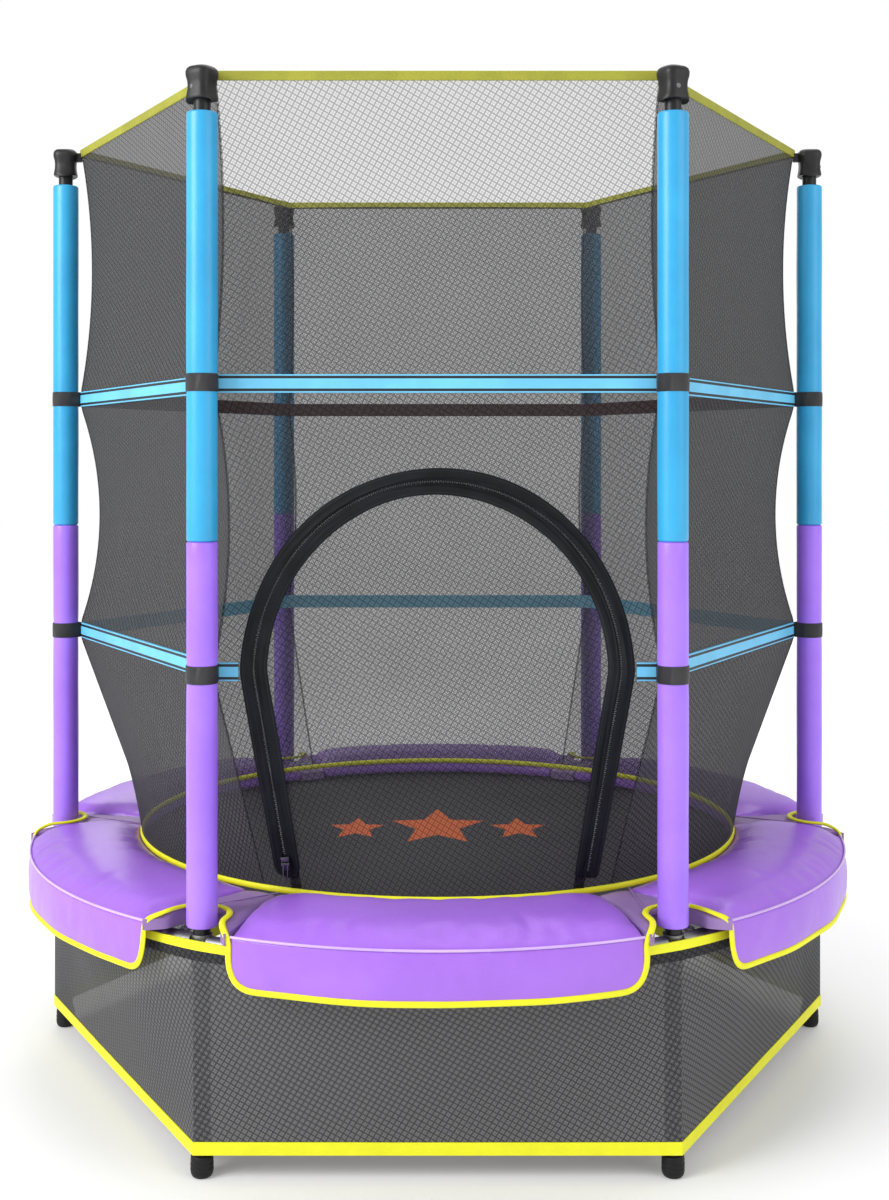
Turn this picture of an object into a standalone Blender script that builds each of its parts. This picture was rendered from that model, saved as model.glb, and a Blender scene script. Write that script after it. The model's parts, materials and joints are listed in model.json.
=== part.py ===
"""Six-pole junior trampoline with a padded ring, a zipped safety net and a mesh skirt."""

import math

import bmesh
import bpy
from mathutils import Matrix, Vector

# Stations: a leg, a socket, a pole, its foam sleeves and its cap share one upright axis.
STATIONS = ("right", "back_right", "back_left", "left", "front_left", "front_right")
STATION_STEP = math.radians(60.0)
FRONT_SIDE = 4                      # the side between front_left and front_right
POLE_CIRCLE = 0.680                 # distance from the middle to every upright axis
GAP = 0.0003                        # clearance between pieces that touch

# Ring frame and uprights.
TUBE_R = 0.0125
TUBE_WALL = 0.0013
TUBE_SIDES = 12
RING_Z = 0.335
RAIL_STEPS = 8
SOCKET_R = 0.0152
SOCKET_BORE_R = 0.0130
SOCKET_LOW = 0.300
SOCKET_TOP = 0.3495
LEG_LOW = 0.0085
POLE_TOP = 1.590

# Foam sleeves on the poles.
FOAM_R = 0.0225
FOAM_BORE_R = TUBE_R + GAP
FOAM_EDGE = 0.0020
FOAM_SIDES = 16
FOAM_LOW = 0.360
FOAM_SPLIT = 0.915
FOAM_TOP = 1.534

# Pole caps.
CAP_LOW = 1.552
CAP_TOP = 1.600
CAP_R = 0.0215
CAP_WAIST_R = 0.0192

# Rubber feet.
FOOT_R = 0.0168
FOOT_HEIGHT = 0.032
FOOT_SOLE_R = 0.0120

# Jump mat.
MAT_R = 0.590
MAT_LOW = 0.3450
MAT_THICK = 0.0040
MAT_SIDES = 48

# Padded ring over the springs.
PAD_IN_R = 0.527
PAD_OUT_R = 0.724
PAD_LOW = 0.352
PAD_CROWN = 0.390
PAD_CREASE = 0.362
FLAP_LOW = 0.294
FLAP_THICK = 0.0065
PAD_STEPS = 60
NOTCH_IN_R = 0.646
NOTCH_HALF = 0.048
NOTCH_FLARE = 0.040
NOTCH_STEPS = 6

# Safety net: straight between the uprights at the hem and the two belts, round at the pad.
NET_THICK = 0.0010
NET_CORNER_R = 0.652
NET_TOP = 1.598
BELT_HIGH = 1.144
BELT_LOW = 0.7235
NET_FOOT_Z = 0.383
NET_FOOT_R = 0.531
BOW_TOP = 0.020
BOW_MIDDLE = 0.034
NET_COLUMNS = 8
NET_ROWS_LOW = 5
NET_ROWS_MIDDLE = 4
NET_ROWS_TOP = 3
SEAM_SHARE = 0.00125                # share of a side left open at each upright seam

# Belts around the net.
BELT_WIDTH = 0.027
BELT_THICK = 0.0015
BELT_STANDOFF = 0.0012

# Zipped doorway in the front side.
ARCH_HALF = 0.268
ARCH_RISE = 0.2775
ARCH_BAND = 0.040
ARCH_STEPS = 18
LEG_STEPS = 6
BAND_STANDOFF = 0.0030
BAND_THICK = 0.0028
DOOR_CLEARANCE = 0.0012
DOOR_HINGE_Y = -0.478
DOOR_HINGE_Z = 0.386

# Zip slider and its pull tab.
SLIDER_START_Z = 0.428
SLIDER_WIDE = 0.013
SLIDER_TALL = 0.022
SLIDER_DEEP = 0.005
SLIDER_STANDOFF = 0.0022
PULL_WIDE = 0.008
PULL_LONG = 0.028
PULL_THICK = 0.0016
EAR_THICK = 0.0015
EAR_DEEP = 0.0050
BARREL_R = 0.0018

# Mesh skirt.
SKIRT_CORNER_R = 0.7005
SKIRT_THICK = 0.0012
SKIRT_LOW = 0.037
SKIRT_TOP = 0.3200

COLOURS = {
    "steel": ((0.72, 0.73, 0.74, 1.0), 0.35, 1.0),
    "black_steel": ((0.012, 0.012, 0.013, 1.0), 0.40, 0.0),
    "rubber": ((0.010, 0.010, 0.011, 1.0), 0.70, 0.0),
    "purple_foam": ((0.41, 0.20, 0.98, 1.0), 0.55, 0.0),
    "blue_foam": ((0.03, 0.38, 0.71, 1.0), 0.55, 0.0),
    "cap_plastic": ((0.030, 0.030, 0.032, 1.0), 0.45, 0.0),
    "mat": ((0.030, 0.030, 0.032, 1.0), 0.80, 0.0),
    "pad": ((0.45, 0.20, 0.84, 1.0), 0.45, 0.0),
    "net": ((0.16, 0.16, 0.17, 1.0), 0.85, 0.0),
    "skirt": ((0.19, 0.19, 0.20, 1.0), 0.85, 0.0),
    "belt": ((0.17, 0.60, 0.92, 1.0), 0.60, 0.0),
    "band": ((0.022, 0.026, 0.032, 1.0), 0.75, 0.0),
    "zip_metal": ((0.08, 0.08, 0.085, 1.0), 0.30, 1.0),
}


def clear_scene():
    for item in list(bpy.data.objects):
        bpy.data.objects.remove(item, do_unlink=True)


def make_material(name):
    colour, roughness, metallic = COLOURS[name]
    material = bpy.data.materials.new(name)
    material.use_nodes = True
    shader = material.node_tree.nodes["Principled BSDF"]
    shader.inputs["Base Color"].default_value = colour
    shader.inputs["Roughness"].default_value = roughness
    shader.inputs["Metallic"].default_value = metallic
    return material


def material_for(name):
    return bpy.data.materials.get(name) or make_material(name)


def new_object(name, bm, finish, smooth_deg=40.0):
    """Close a bmesh into a named object with one material and outward faces."""
    bmesh.ops.recalc_face_normals(bm, faces=bm.faces)
    mesh = bpy.data.meshes.new(name)
    bm.to_mesh(mesh)
    bm.free()
    mesh.shade_smooth()
    mesh.set_sharp_from_angle(angle=math.radians(smooth_deg))
    mesh.materials.append(material_for(finish))
    item = bpy.data.objects.new(name, mesh)
    bpy.context.scene.collection.objects.link(item)
    return item


def copy_at(source, name, matrix):
    """A repeated piece: its own object on the same mesh."""
    item = bpy.data.objects.new(name, source.data)
    bpy.context.scene.collection.objects.link(item)
    item.matrix_world = matrix
    return item


def station_angle(index):
    return index * STATION_STEP


def station_matrix(index):
    """Puts a piece modelled on the Z axis at an upright, its own +X pointing outward."""
    turn = Matrix.Rotation(station_angle(index), 4, "Z")
    return turn @ Matrix.Translation((POLE_CIRCLE, 0.0, 0.0))


def on_circle(radius, angle, z):
    return Vector((radius * math.cos(angle), radius * math.sin(angle), z))


# ---- turned pieces -------------------------------------------------------------------

def lathe(profile, sides, closed):
    """Spin (radius, z) points about Z. A closed profile is a ring; an open one ends on the axis."""
    bm = bmesh.new()
    verts = [bm.verts.new((radius, 0.0, z)) for radius, z in profile]
    edges = [bm.edges.new(pair) for pair in zip(verts, verts[1:])]
    if closed:
        edges.append(bm.edges.new((verts[-1], verts[0])))
    bmesh.ops.spin(bm, geom=verts + edges, cent=(0, 0, 0), axis=(0, 0, 1),
                   angle=2.0 * math.pi, steps=sides, use_merge=True)
    bmesh.ops.remove_doubles(bm, verts=bm.verts, dist=1e-6)
    return bm


def tube_profile(outer, inner, low, top):
    return [(inner, low), (outer, low), (outer, top), (inner, top)]


def foam_profile(low, top):
    return [
        (FOAM_BORE_R, low),
        (FOAM_R - FOAM_EDGE, low),
        (FOAM_R, low + FOAM_EDGE),
        (FOAM_R, top - FOAM_EDGE),
        (FOAM_R - FOAM_EDGE, top),
        (FOAM_BORE_R, top),
    ]


def foot_profile():
    return [
        (0.0, 0.0),
        (FOOT_SOLE_R, 0.0),
        (FOOT_R - 0.0010, 0.0040),
        (FOOT_R, 0.0120),
        (FOOT_R - 0.0004, FOOT_HEIGHT - 0.0060),
        (FOOT_R - 0.0020, FOOT_HEIGHT),
        (TUBE_R + GAP, FOOT_HEIGHT),
        (TUBE_R + GAP, LEG_LOW - GAP),
        (0.0, LEG_LOW - GAP),
    ]


def cap_profile():
    middle = (CAP_LOW + CAP_TOP) / 2.0
    return [
        (0.0, CAP_TOP),
        (CAP_R * 0.55, CAP_TOP - 0.0008),
        (CAP_R * 0.90, CAP_TOP - 0.0040),
        (CAP_R, CAP_TOP - 0.0100),
        (CAP_WAIST_R, middle),
        (CAP_R - 0.0008, CAP_LOW),
        (TUBE_R + GAP, CAP_LOW),
        (TUBE_R + GAP, POLE_TOP + GAP),
        (0.0, POLE_TOP + GAP),
    ]


def repeat_at_stations(prefix, bm, finish):
    """The first piece carries the mesh; the other five share it."""
    first = new_object(f"{prefix}_{STATIONS[0]}", bm, finish)
    first.matrix_world = station_matrix(0)
    for index in range(1, len(STATIONS)):
        copy_at(first, f"{prefix}_{STATIONS[index]}", station_matrix(index))


def build_uprights():
    leg_top = (SOCKET_LOW + SOCKET_TOP) / 2.0
    inner = TUBE_R - TUBE_WALL
    turned = (
        ("leg", tube_profile(TUBE_R, inner, LEG_LOW, leg_top - GAP), TUBE_SIDES, True, "black_steel"),
        ("pole", tube_profile(TUBE_R, inner, leg_top, POLE_TOP), TUBE_SIDES, True, "black_steel"),
        ("foam_lower", foam_profile(FOAM_LOW, FOAM_SPLIT - GAP), FOAM_SIDES, True, "purple_foam"),
        ("foam_upper", foam_profile(FOAM_SPLIT, FOAM_TOP), FOAM_SIDES, True, "blue_foam"),
        ("foot", foot_profile(), TUBE_SIDES, False, "rubber"),
        ("cap", cap_profile(), TUBE_SIDES, False, "cap_plastic"),
    )
    for prefix, profile, sides, closed, finish in turned:
        repeat_at_stations(prefix, lathe(profile, sides, closed), finish)


# ---- ring frame ----------------------------------------------------------------------

def rod_rings(bm, radius, angles):
    rings = []
    for angle in angles:
        matrix = Matrix.Translation(on_circle(POLE_CIRCLE, angle, RING_Z))
        matrix = matrix @ Matrix.Rotation(angle, 4, "Z") @ Matrix.Rotation(math.pi / 2.0, 4, "X")
        ring = bmesh.ops.create_circle(bm, segments=TUBE_SIDES, radius=radius, matrix=matrix)
        rings.append(ring["verts"])
    for first, second in zip(rings, rings[1:]):
        bridge_rings(bm, first, second)
    return rings


def bridge_rings(bm, first, second):
    for side in range(len(first)):
        after = (side + 1) % len(first)
        bm.faces.new((first[side], first[after], second[after], second[side]))


def bent_tube(angles):
    """A tube along the pole circle: solid up to the second angle, hollow and open from there on."""
    bm = bmesh.new()
    outer = rod_rings(bm, TUBE_R, angles)
    inner = rod_rings(bm, TUBE_R - TUBE_WALL, angles[1:])
    bm.faces.new(outer[0])
    bm.faces.new(inner[0])
    bridge_rings(bm, outer[-1], inner[-1])
    return bm


def cut_or_join(item, tool, operation):
    """Apply one exact Boolean and drop its tool."""
    modifier = item.modifiers.new(operation.lower(), "BOOLEAN")
    modifier.operation = operation
    modifier.solver = "EXACT"
    modifier.object = tool
    bpy.context.view_layer.update()
    graph = bpy.context.evaluated_depsgraph_get()
    result = bpy.data.meshes.new_from_object(item.evaluated_get(graph))
    item.modifiers.clear()
    item.data = result
    bpy.data.objects.remove(tool, do_unlink=True)


def tidy_mesh(item):
    """Weld what a Boolean leaves doubled."""
    bm = bmesh.new()
    bm.from_mesh(item.data)
    bmesh.ops.remove_doubles(bm, verts=bm.verts, dist=2e-5)
    bmesh.ops.triangulate(bm, faces=bm.faces)
    bmesh.ops.recalc_face_normals(bm, faces=bm.faces)
    bm.to_mesh(item.data)
    bm.free()
    item.data.shade_smooth()
    item.data.set_sharp_from_angle(angle=math.radians(40.0))


def build_first_rail():
    """A curved tube with the upright socket for the next leg and pole welded to one end."""
    bore_start = SOCKET_R / POLE_CIRCLE + 0.010
    end = STATION_STEP - (SOCKET_R + 2.0 * GAP) / POLE_CIRCLE
    angles = [0.0] + [bore_start + (end - bore_start) * step / RAIL_STEPS for step in range(RAIL_STEPS + 1)]
    rail = new_object("rail_right", bent_tube(angles), "steel")
    socket = lathe([(0.0, SOCKET_LOW), (SOCKET_R, SOCKET_LOW), (SOCKET_R, SOCKET_TOP), (0.0, SOCKET_TOP)],
                   TUBE_SIDES, False)
    bmesh.ops.translate(socket, verts=socket.verts, vec=(POLE_CIRCLE, 0.0, 0.0))
    cut_or_join(rail, new_object("socket_tool", socket, "steel"), "UNION")
    spare = 0.02
    bore = lathe([(0.0, SOCKET_LOW - spare), (SOCKET_BORE_R, SOCKET_LOW - spare),
                  (SOCKET_BORE_R, SOCKET_TOP + spare), (0.0, SOCKET_TOP + spare)], TUBE_SIDES, False)
    bmesh.ops.translate(bore, verts=bore.verts, vec=(POLE_CIRCLE, 0.0, 0.0))
    cut_or_join(rail, new_object("bore_tool", bore, "steel"), "DIFFERENCE")
    tidy_mesh(rail)
    return rail


def build_rails():
    first = build_first_rail()
    names = ("rail_back_right_side", "rail_back", "rail_back_left_side",
             "rail_front_left_side", "rail_front", "rail_front_right_side")
    first.name = names[0]
    for index in range(1, len(names)):
        copy_at(first, names[index], Matrix.Rotation(station_angle(index), 4, "Z"))


# ---- mat, pad and skirt --------------------------------------------------------------

def build_mat():
    top = MAT_LOW + MAT_THICK
    bm = lathe([(0.0, MAT_LOW), (MAT_R, MAT_LOW), (MAT_R, top), (0.0, top)], MAT_SIDES, False)
    new_object("jump_mat", bm, "mat")


def pad_profile():
    flap_in = PAD_OUT_R - FLAP_THICK
    return [
        (PAD_IN_R, PAD_LOW),
        (flap_in, PAD_LOW),
        (flap_in, FLAP_LOW),
        (PAD_OUT_R, FLAP_LOW),
        (PAD_OUT_R, PAD_CREASE),
        (PAD_OUT_R - 0.012, PAD_CREASE + 0.017),
        (PAD_OUT_R - 0.060, PAD_CROWN),
        (PAD_IN_R + 0.050, PAD_CROWN),
        (PAD_IN_R + 0.004, PAD_CROWN - 0.010),
        (PAD_IN_R, PAD_CROWN - 0.015),
    ]


def notch_outline():
    """Plan of one notch on the +X side: round behind the pole, flaring to the pad's edge."""
    middle = NOTCH_IN_R + NOTCH_HALF
    outline = []
    for step in range(NOTCH_STEPS + 1):
        angle = math.pi / 2.0 + math.pi * step / NOTCH_STEPS
        outline.append((middle + NOTCH_HALF * math.cos(angle), NOTCH_HALF * math.sin(angle)))
    past = 0.5 * (PAD_OUT_R - NOTCH_IN_R)
    outline.append((PAD_OUT_R + past, -NOTCH_HALF - 2.0 * NOTCH_FLARE))
    outline.append((PAD_OUT_R + past, NOTCH_HALF + 2.0 * NOTCH_FLARE))
    return outline


def prism(outline, low, top):
    """An upright prism on a closed plan outline."""
    bm = bmesh.new()
    verts = [bm.verts.new((x, y, low)) for x, y in outline]
    face = bm.faces.new(verts)
    grown = bmesh.ops.extrude_face_region(bm, geom=[face])
    moved = [part for part in grown["geom"] if isinstance(part, bmesh.types.BMVert)]
    bmesh.ops.translate(bm, verts=moved, vec=(0.0, 0.0, top - low))
    return bm


def build_pad():
    ring = lathe(pad_profile(), PAD_STEPS, True)
    half_step = Matrix.Rotation(math.pi / PAD_STEPS, 4, "Z")
    bmesh.ops.transform(ring, matrix=half_step, verts=ring.verts)
    pad = new_object("frame_pad", ring, "pad")
    for index in range(len(STATIONS)):
        tool = new_object("notch_tool", prism(notch_outline(), FLAP_LOW - 0.02, PAD_CROWN + 0.02), "pad")
        tool.matrix_world = Matrix.Rotation(station_angle(index), 4, "Z")
        cut_or_join(pad, tool, "DIFFERENCE")
    tidy_mesh(pad)


def hexagon_ring(radius, thick, low, top, start=0, count=6, first=None, last=None):
    """A flat-sided band through the upright angles; open when its ends are given."""
    outer_r = radius + thick / math.cos(STATION_STEP / 2.0)
    bm = bmesh.new()
    columns = []
    if first:
        columns.append(first)
    for index in range(start, start + count):
        angle = station_angle(index)
        columns.append((on_circle(radius, angle, 0.0), on_circle(outer_r, angle, 0.0)))
    if last:
        columns.append(last)
    rings = []
    for inner, outer in columns:
        corners = ((inner, low), (outer, low), (outer, top), (inner, top))
        rings.append([bm.verts.new((point.x, point.y, z)) for point, z in corners])
    pairs = list(zip(rings, rings[1:]))
    if first:
        bm.faces.new(rings[0])
        bm.faces.new(rings[-1])
    else:
        pairs.append((rings[-1], rings[0]))
    for left, right in pairs:
        for side in range(4):
            after = (side + 1) % 4
            bm.faces.new((left[side], left[after], right[after], right[side]))
    return bm


def build_skirt():
    inner = SKIRT_CORNER_R - SKIRT_THICK / math.cos(STATION_STEP / 2.0)
    new_object("skirt", hexagon_ring(inner, SKIRT_THICK, SKIRT_LOW, SKIRT_TOP), "skirt")


# ---- safety net ----------------------------------------------------------------------

def tier_share(z):
    """Which stretch of the net a height is in, and how far up that stretch."""
    if z >= BELT_HIGH:
        return "top", (z - BELT_HIGH) / (NET_TOP - BELT_HIGH)
    if z >= BELT_LOW:
        return "middle", (z - BELT_LOW) / (BELT_HIGH - BELT_LOW)
    return "low", (z - NET_FOOT_Z) / (BELT_LOW - NET_FOOT_Z)


def net_point(side, across, z):
    """A point of the net: across runs 0 to 1 from one upright to the next."""
    tier, share = tier_share(z)
    arch = 4.0 * share * (1.0 - share)
    start = station_angle(side)
    if tier == "low":
        edge = on_circle(NET_CORNER_R, start, z).lerp(on_circle(NET_CORNER_R, start + STATION_STEP, z), across)
        rim = on_circle(NET_FOOT_R, start + STATION_STEP * across, z)
        return rim.lerp(edge, share)
    bow = BOW_TOP if tier == "top" else BOW_MIDDLE
    radius = NET_CORNER_R - bow * arch
    return on_circle(radius, start, z).lerp(on_circle(radius, start + STATION_STEP, z), across)


def net_heights():
    heights = []
    tiers = ((NET_FOOT_Z, BELT_LOW, NET_ROWS_LOW), (BELT_LOW, BELT_HIGH, NET_ROWS_MIDDLE),
             (BELT_HIGH, NET_TOP, NET_ROWS_TOP))
    for low, top, rows in tiers:
        heights += [low + (top - low) * row / rows for row in range(rows)]
    return heights + [NET_TOP]


def sheet_solid(rows, push):
    """A thin closed solid from a grid of points, thickened by half of push each way."""
    bm = bmesh.new()
    layers = []
    for sign in (-0.5, 0.5):
        layers.append([[bm.verts.new(point + push * sign) for point in row] for row in rows])
    last_row = len(rows) - 1
    last_column = len(rows[0]) - 1
    for layer in layers:
        for row in range(last_row):
            for column in range(last_column):
                bm.faces.new((layer[row][column], layer[row][column + 1],
                              layer[row + 1][column + 1], layer[row + 1][column]))
    rim = [(0, column) for column in range(last_column)]
    rim += [(row, last_column) for row in range(last_row)]
    rim += [(last_row, column) for column in range(last_column, 0, -1)]
    rim += [(row, 0) for row in range(last_row, 0, -1)]
    for (row, column), (next_row, next_column) in zip(rim, rim[1:] + rim[:1]):
        bm.faces.new((layers[0][row][column], layers[0][next_row][next_column],
                      layers[1][next_row][next_column], layers[1][row][column]))
    return bm


def net_side(side, name):
    shares = [SEAM_SHARE + (1.0 - 2.0 * SEAM_SHARE) * step / NET_COLUMNS for step in range(NET_COLUMNS + 1)]
    rows = [[net_point(side, share, z) for share in shares] for z in net_heights()]
    outward = on_circle(NET_THICK, station_angle(side) + STATION_STEP / 2.0, 0.0)
    return new_object(name, sheet_solid(rows, outward), "net")


def arch_leg_foot():
    """Where the zip starts: down the net from the arch's side to the net's foot."""
    share = (NET_CORNER_R / 2.0 - ARCH_HALF) / NET_CORNER_R
    return net_point(FRONT_SIDE, share, NET_FOOT_Z)


def arch_line(offset):
    """The zip's line seen from the front, as (x, z), left foot to right foot."""
    foot = arch_leg_foot()
    points = []
    for step in range(LEG_STEPS):
        share = step / LEG_STEPS
        half = -foot.x + (ARCH_HALF + foot.x) * share + offset
        points.append((-half, NET_FOOT_Z + (BELT_LOW - NET_FOOT_Z) * share))
    mirrored = [(-x, z) for x, z in reversed(points)]
    for step in range(ARCH_STEPS + 1):
        angle = math.pi * (1.0 - step / ARCH_STEPS)
        points.append(((ARCH_HALF + offset) * math.cos(angle), BELT_LOW + (ARCH_RISE + offset) * math.sin(angle)))
    return points + mirrored


def arch_prism(offset):
    """A cutter through the front side, open past the net's foot."""
    outline = arch_line(offset)
    drop = NET_FOOT_Z - 0.05
    outline = [(outline[0][0], drop)] + outline + [(outline[-1][0], drop)]
    bm = bmesh.new()
    face = bm.faces.new([bm.verts.new((x, -0.70, z)) for x, z in outline])
    grown = bmesh.ops.extrude_face_region(bm, geom=[face])
    moved = [part for part in grown["geom"] if isinstance(part, bmesh.types.BMVert)]
    bmesh.ops.translate(bm, verts=moved, vec=(0.0, 0.35, 0.0))
    return bm


def faceted_point(side, across, z):
    """A point of the net as its rows of flat facets carry it."""
    heights = net_heights()
    for low, top in zip(heights, heights[1:]):
        if z <= top:
            break
    return net_point(side, across, low).lerp(net_point(side, across, top), (z - low) / (top - low))


def front_surface(x, z):
    """The front side's surface at a width and a height."""
    low, high = 0.0, 1.0
    for _ in range(40):
        middle = (low + high) / 2.0
        if faceted_point(FRONT_SIDE, middle, z).x < x:
            low = middle
        else:
            high = middle
    return faceted_point(FRONT_SIDE, (low + high) / 2.0, z)


def build_net():
    names = ("net_back_right_side", "net_back", "net_back_left_side",
             "net_front_left_side", "net_front", "net_front_right_side")
    sides = [net_side(side, name) for side, name in enumerate(names)]
    front = sides[FRONT_SIDE]
    door = net_side(FRONT_SIDE, "door_panel")
    cut_or_join(front, new_object("doorway_tool", arch_prism(0.0), "net"), "DIFFERENCE")
    cut_or_join(door, new_object("door_tool", arch_prism(-DOOR_CLEARANCE), "net"), "INTERSECT")
    tidy_mesh(front)
    tidy_mesh(door)
    move_origin(door, Vector((0.0, DOOR_HINGE_Y, DOOR_HINGE_Z)))


def move_origin(item, point):
    """Put an object's origin on its joint without moving its shape."""
    item.data.transform(Matrix.Translation(-point))
    item.location = point


def belt_radius():
    return NET_CORNER_R + BELT_STANDOFF / math.cos(STATION_STEP / 2.0)


def build_belts():
    half = BELT_WIDTH / 2.0
    new_object("belt_upper", hexagon_ring(belt_radius(), BELT_THICK, BELT_HIGH - half, BELT_HIGH + half), "belt")
    reach = ARCH_HALF + ARCH_BAND / 2.0 + 0.0015
    flat = belt_radius() * math.cos(STATION_STEP / 2.0)
    ends = []
    for x in (reach, -reach):
        ends.append((Vector((x, -flat, 0.0)), Vector((x, -flat - BELT_THICK, 0.0))))
    ring = hexagon_ring(belt_radius(), BELT_THICK, BELT_LOW - half, BELT_LOW + half,
                        start=5, count=6, first=ends[0], last=ends[1])
    new_object("belt_lower", ring, "belt")


def build_arch_band():
    """The cloth strip over the zip, lying on the front side and on the door's edge."""
    inner = arch_line(-ARCH_BAND / 2.0)
    outer = arch_line(ARCH_BAND / 2.0)
    bm = bmesh.new()
    rings = []
    lift = 0.0008
    for (inner_x, inner_z), (outer_x, outer_z) in zip(inner, outer):
        near = front_surface(inner_x, max(inner_z, NET_FOOT_Z + lift))
        far = front_surface(outer_x, max(outer_z, NET_FOOT_Z + lift))
        ring = []
        for point, depth in ((near, BAND_STANDOFF), (far, BAND_STANDOFF),
                             (far, BAND_STANDOFF + BAND_THICK), (near, BAND_STANDOFF + BAND_THICK)):
            ring.append(bm.verts.new((point.x, point.y - depth, point.z)))
        rings.append(ring)
    for first, second in zip(rings, rings[1:]):
        for side in range(4):
            after = (side + 1) % 4
            bm.faces.new((first[side], first[after], second[after], second[side]))
    bm.faces.new(rings[0])
    bm.faces.new(rings[-1])
    bmesh.ops.triangulate(bm, faces=bm.faces)
    new_object("door_band", bm, "band")


# ---- zip slider ----------------------------------------------------------------------

def zip_direction():
    share = (NET_CORNER_R / 2.0 - ARCH_HALF) / NET_CORNER_R
    side = net_point(FRONT_SIDE, share, BELT_LOW)
    return (side - arch_leg_foot()).normalized()


def slider_start():
    foot = arch_leg_foot()
    direction = zip_direction()
    return foot + direction * ((SLIDER_START_Z - foot.z) / direction.z)


def box(size, centre, matrix=None):
    bm = bmesh.new()
    bmesh.ops.create_cube(bm, size=1.0)
    bmesh.ops.scale(bm, vec=size, verts=bm.verts)
    bmesh.ops.translate(bm, verts=bm.verts, vec=centre)
    if matrix:
        bmesh.ops.transform(bm, matrix=matrix, verts=bm.verts)
    return bm


def bevel_all(bm, width):
    bmesh.ops.bevel(bm, geom=bm.edges, offset=width, offset_type="OFFSET", affect="EDGES",
                    segments=1, profile=0.5, material=-1)


def build_zip():
    """The slider stands on the band; its two ears hold the pull tab, which hangs straight down."""
    start = slider_start()
    face = BAND_STANDOFF + BAND_THICK + SLIDER_STANDOFF
    tilt = zip_direction()
    lean = Matrix.Rotation(math.atan2(tilt.y, tilt.z), 4, "X").inverted()
    roll = Matrix.Rotation(math.atan2(tilt.x, tilt.z), 4, "Y")
    centre = start + Vector((0.0, -face - SLIDER_DEEP / 2.0, 0.0))
    body = box((SLIDER_WIDE, SLIDER_DEEP, SLIDER_TALL), (0.0, 0.0, 0.0))
    bevel_all(body, 0.0012)
    bmesh.ops.transform(body, matrix=Matrix.Translation(centre) @ roll @ lean, verts=body.verts)
    slider = new_object("zip_slider", body, "zip_metal")
    pivot = centre + Vector((0.0, -SLIDER_DEEP / 2.0 - EAR_DEEP * 0.5, 0.0))
    ear_x = PULL_WIDE / 2.0 + EAR_THICK / 2.0 + 0.0004
    for x in (-ear_x, ear_x):
        ear = box((EAR_THICK, EAR_DEEP + 0.004, 0.006), (pivot.x + x, pivot.y + 0.002, pivot.z))
        cut_or_join(slider, new_object("ear_tool", ear, "zip_metal"), "UNION")
    tidy_mesh(slider)
    move_origin(slider, start)
    build_pull(pivot)


def build_pull(pivot):
    barrel = bmesh.new()
    turn = Matrix.Translation(pivot) @ Matrix.Rotation(math.pi / 2.0, 4, "Y")
    bmesh.ops.create_cone(barrel, cap_ends=True, segments=8, radius1=BARREL_R, radius2=BARREL_R,
                          depth=PULL_WIDE, matrix=turn)
    pull = new_object("zip_pull", barrel, "zip_metal")
    tab = box((PULL_WIDE, PULL_THICK, PULL_LONG), (0.0, 0.0, -PULL_LONG / 2.0))
    bevel_all(tab, 0.0005)
    bmesh.ops.translate(tab, verts=tab.verts, vec=pivot)
    cut_or_join(pull, new_object("tab_tool", tab, "zip_metal"), "UNION")
    tidy_mesh(pull)
    move_origin(pull, pivot)


def build():
    clear_scene()
    build_rails()
    build_uprights()
    build_mat()
    build_pad()
    build_skirt()
    build_net()
    build_belts()
    build_arch_band()
    build_zip()


build()
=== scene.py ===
import json
import math
import bmesh
import bpy
from mathutils import Matrix, Vector, noise


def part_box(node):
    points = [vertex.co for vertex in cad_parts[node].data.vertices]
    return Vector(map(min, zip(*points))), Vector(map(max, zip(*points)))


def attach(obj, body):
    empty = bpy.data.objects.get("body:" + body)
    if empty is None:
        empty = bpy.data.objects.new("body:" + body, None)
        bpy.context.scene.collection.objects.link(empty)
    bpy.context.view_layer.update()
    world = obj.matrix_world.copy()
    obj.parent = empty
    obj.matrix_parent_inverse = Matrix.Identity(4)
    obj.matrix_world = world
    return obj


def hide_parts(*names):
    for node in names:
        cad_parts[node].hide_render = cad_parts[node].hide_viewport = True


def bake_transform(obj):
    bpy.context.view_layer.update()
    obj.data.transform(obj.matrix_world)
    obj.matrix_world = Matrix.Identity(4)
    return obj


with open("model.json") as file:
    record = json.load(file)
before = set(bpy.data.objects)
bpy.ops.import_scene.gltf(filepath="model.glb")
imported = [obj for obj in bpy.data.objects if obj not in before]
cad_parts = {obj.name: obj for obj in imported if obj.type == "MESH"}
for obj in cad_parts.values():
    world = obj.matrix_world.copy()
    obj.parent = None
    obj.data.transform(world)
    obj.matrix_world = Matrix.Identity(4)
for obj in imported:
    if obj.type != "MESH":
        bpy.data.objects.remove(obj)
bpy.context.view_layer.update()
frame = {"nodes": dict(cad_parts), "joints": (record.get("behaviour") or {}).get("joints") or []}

from types import SimpleNamespace as Shape

scene = bpy.context.scene
print("frame loaded:", len(frame["nodes"]), "nodes")

stations = ("right", "back_right", "back_left", "left", "front_left", "front_right")
sideNames = ("back_right_side", "back", "back_left_side", "front_left_side", "front", "front_right_side")
sixth = math.radians(60)
frontSide = 4

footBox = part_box("foot_right")
poleCircle = (footBox[0].x + footBox[1].x) / 2      # every upright stands on this circle


def span(node):
    low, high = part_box(node)
    return low.z, high.z


cameraSetup = Shape(
    place=(0.0, -2.793, 1.029),
    lens=45.8,
    shiftX=0.0058,
    shiftY=-0.1147,
)
view = bpy.data.cameras.new("view")
view.lens = cameraSetup.lens
view.sensor_width = 36
view.shift_x = cameraSetup.shiftX
view.shift_y = cameraSetup.shiftY
camera = bpy.data.objects.new("camera", view)
camera.location = cameraSetup.place
camera.rotation_euler = (math.radians(90), 0, 0)
scene.collection.objects.link(camera)
scene.camera = camera
scene.view_settings.view_transform = "Standard"

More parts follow.
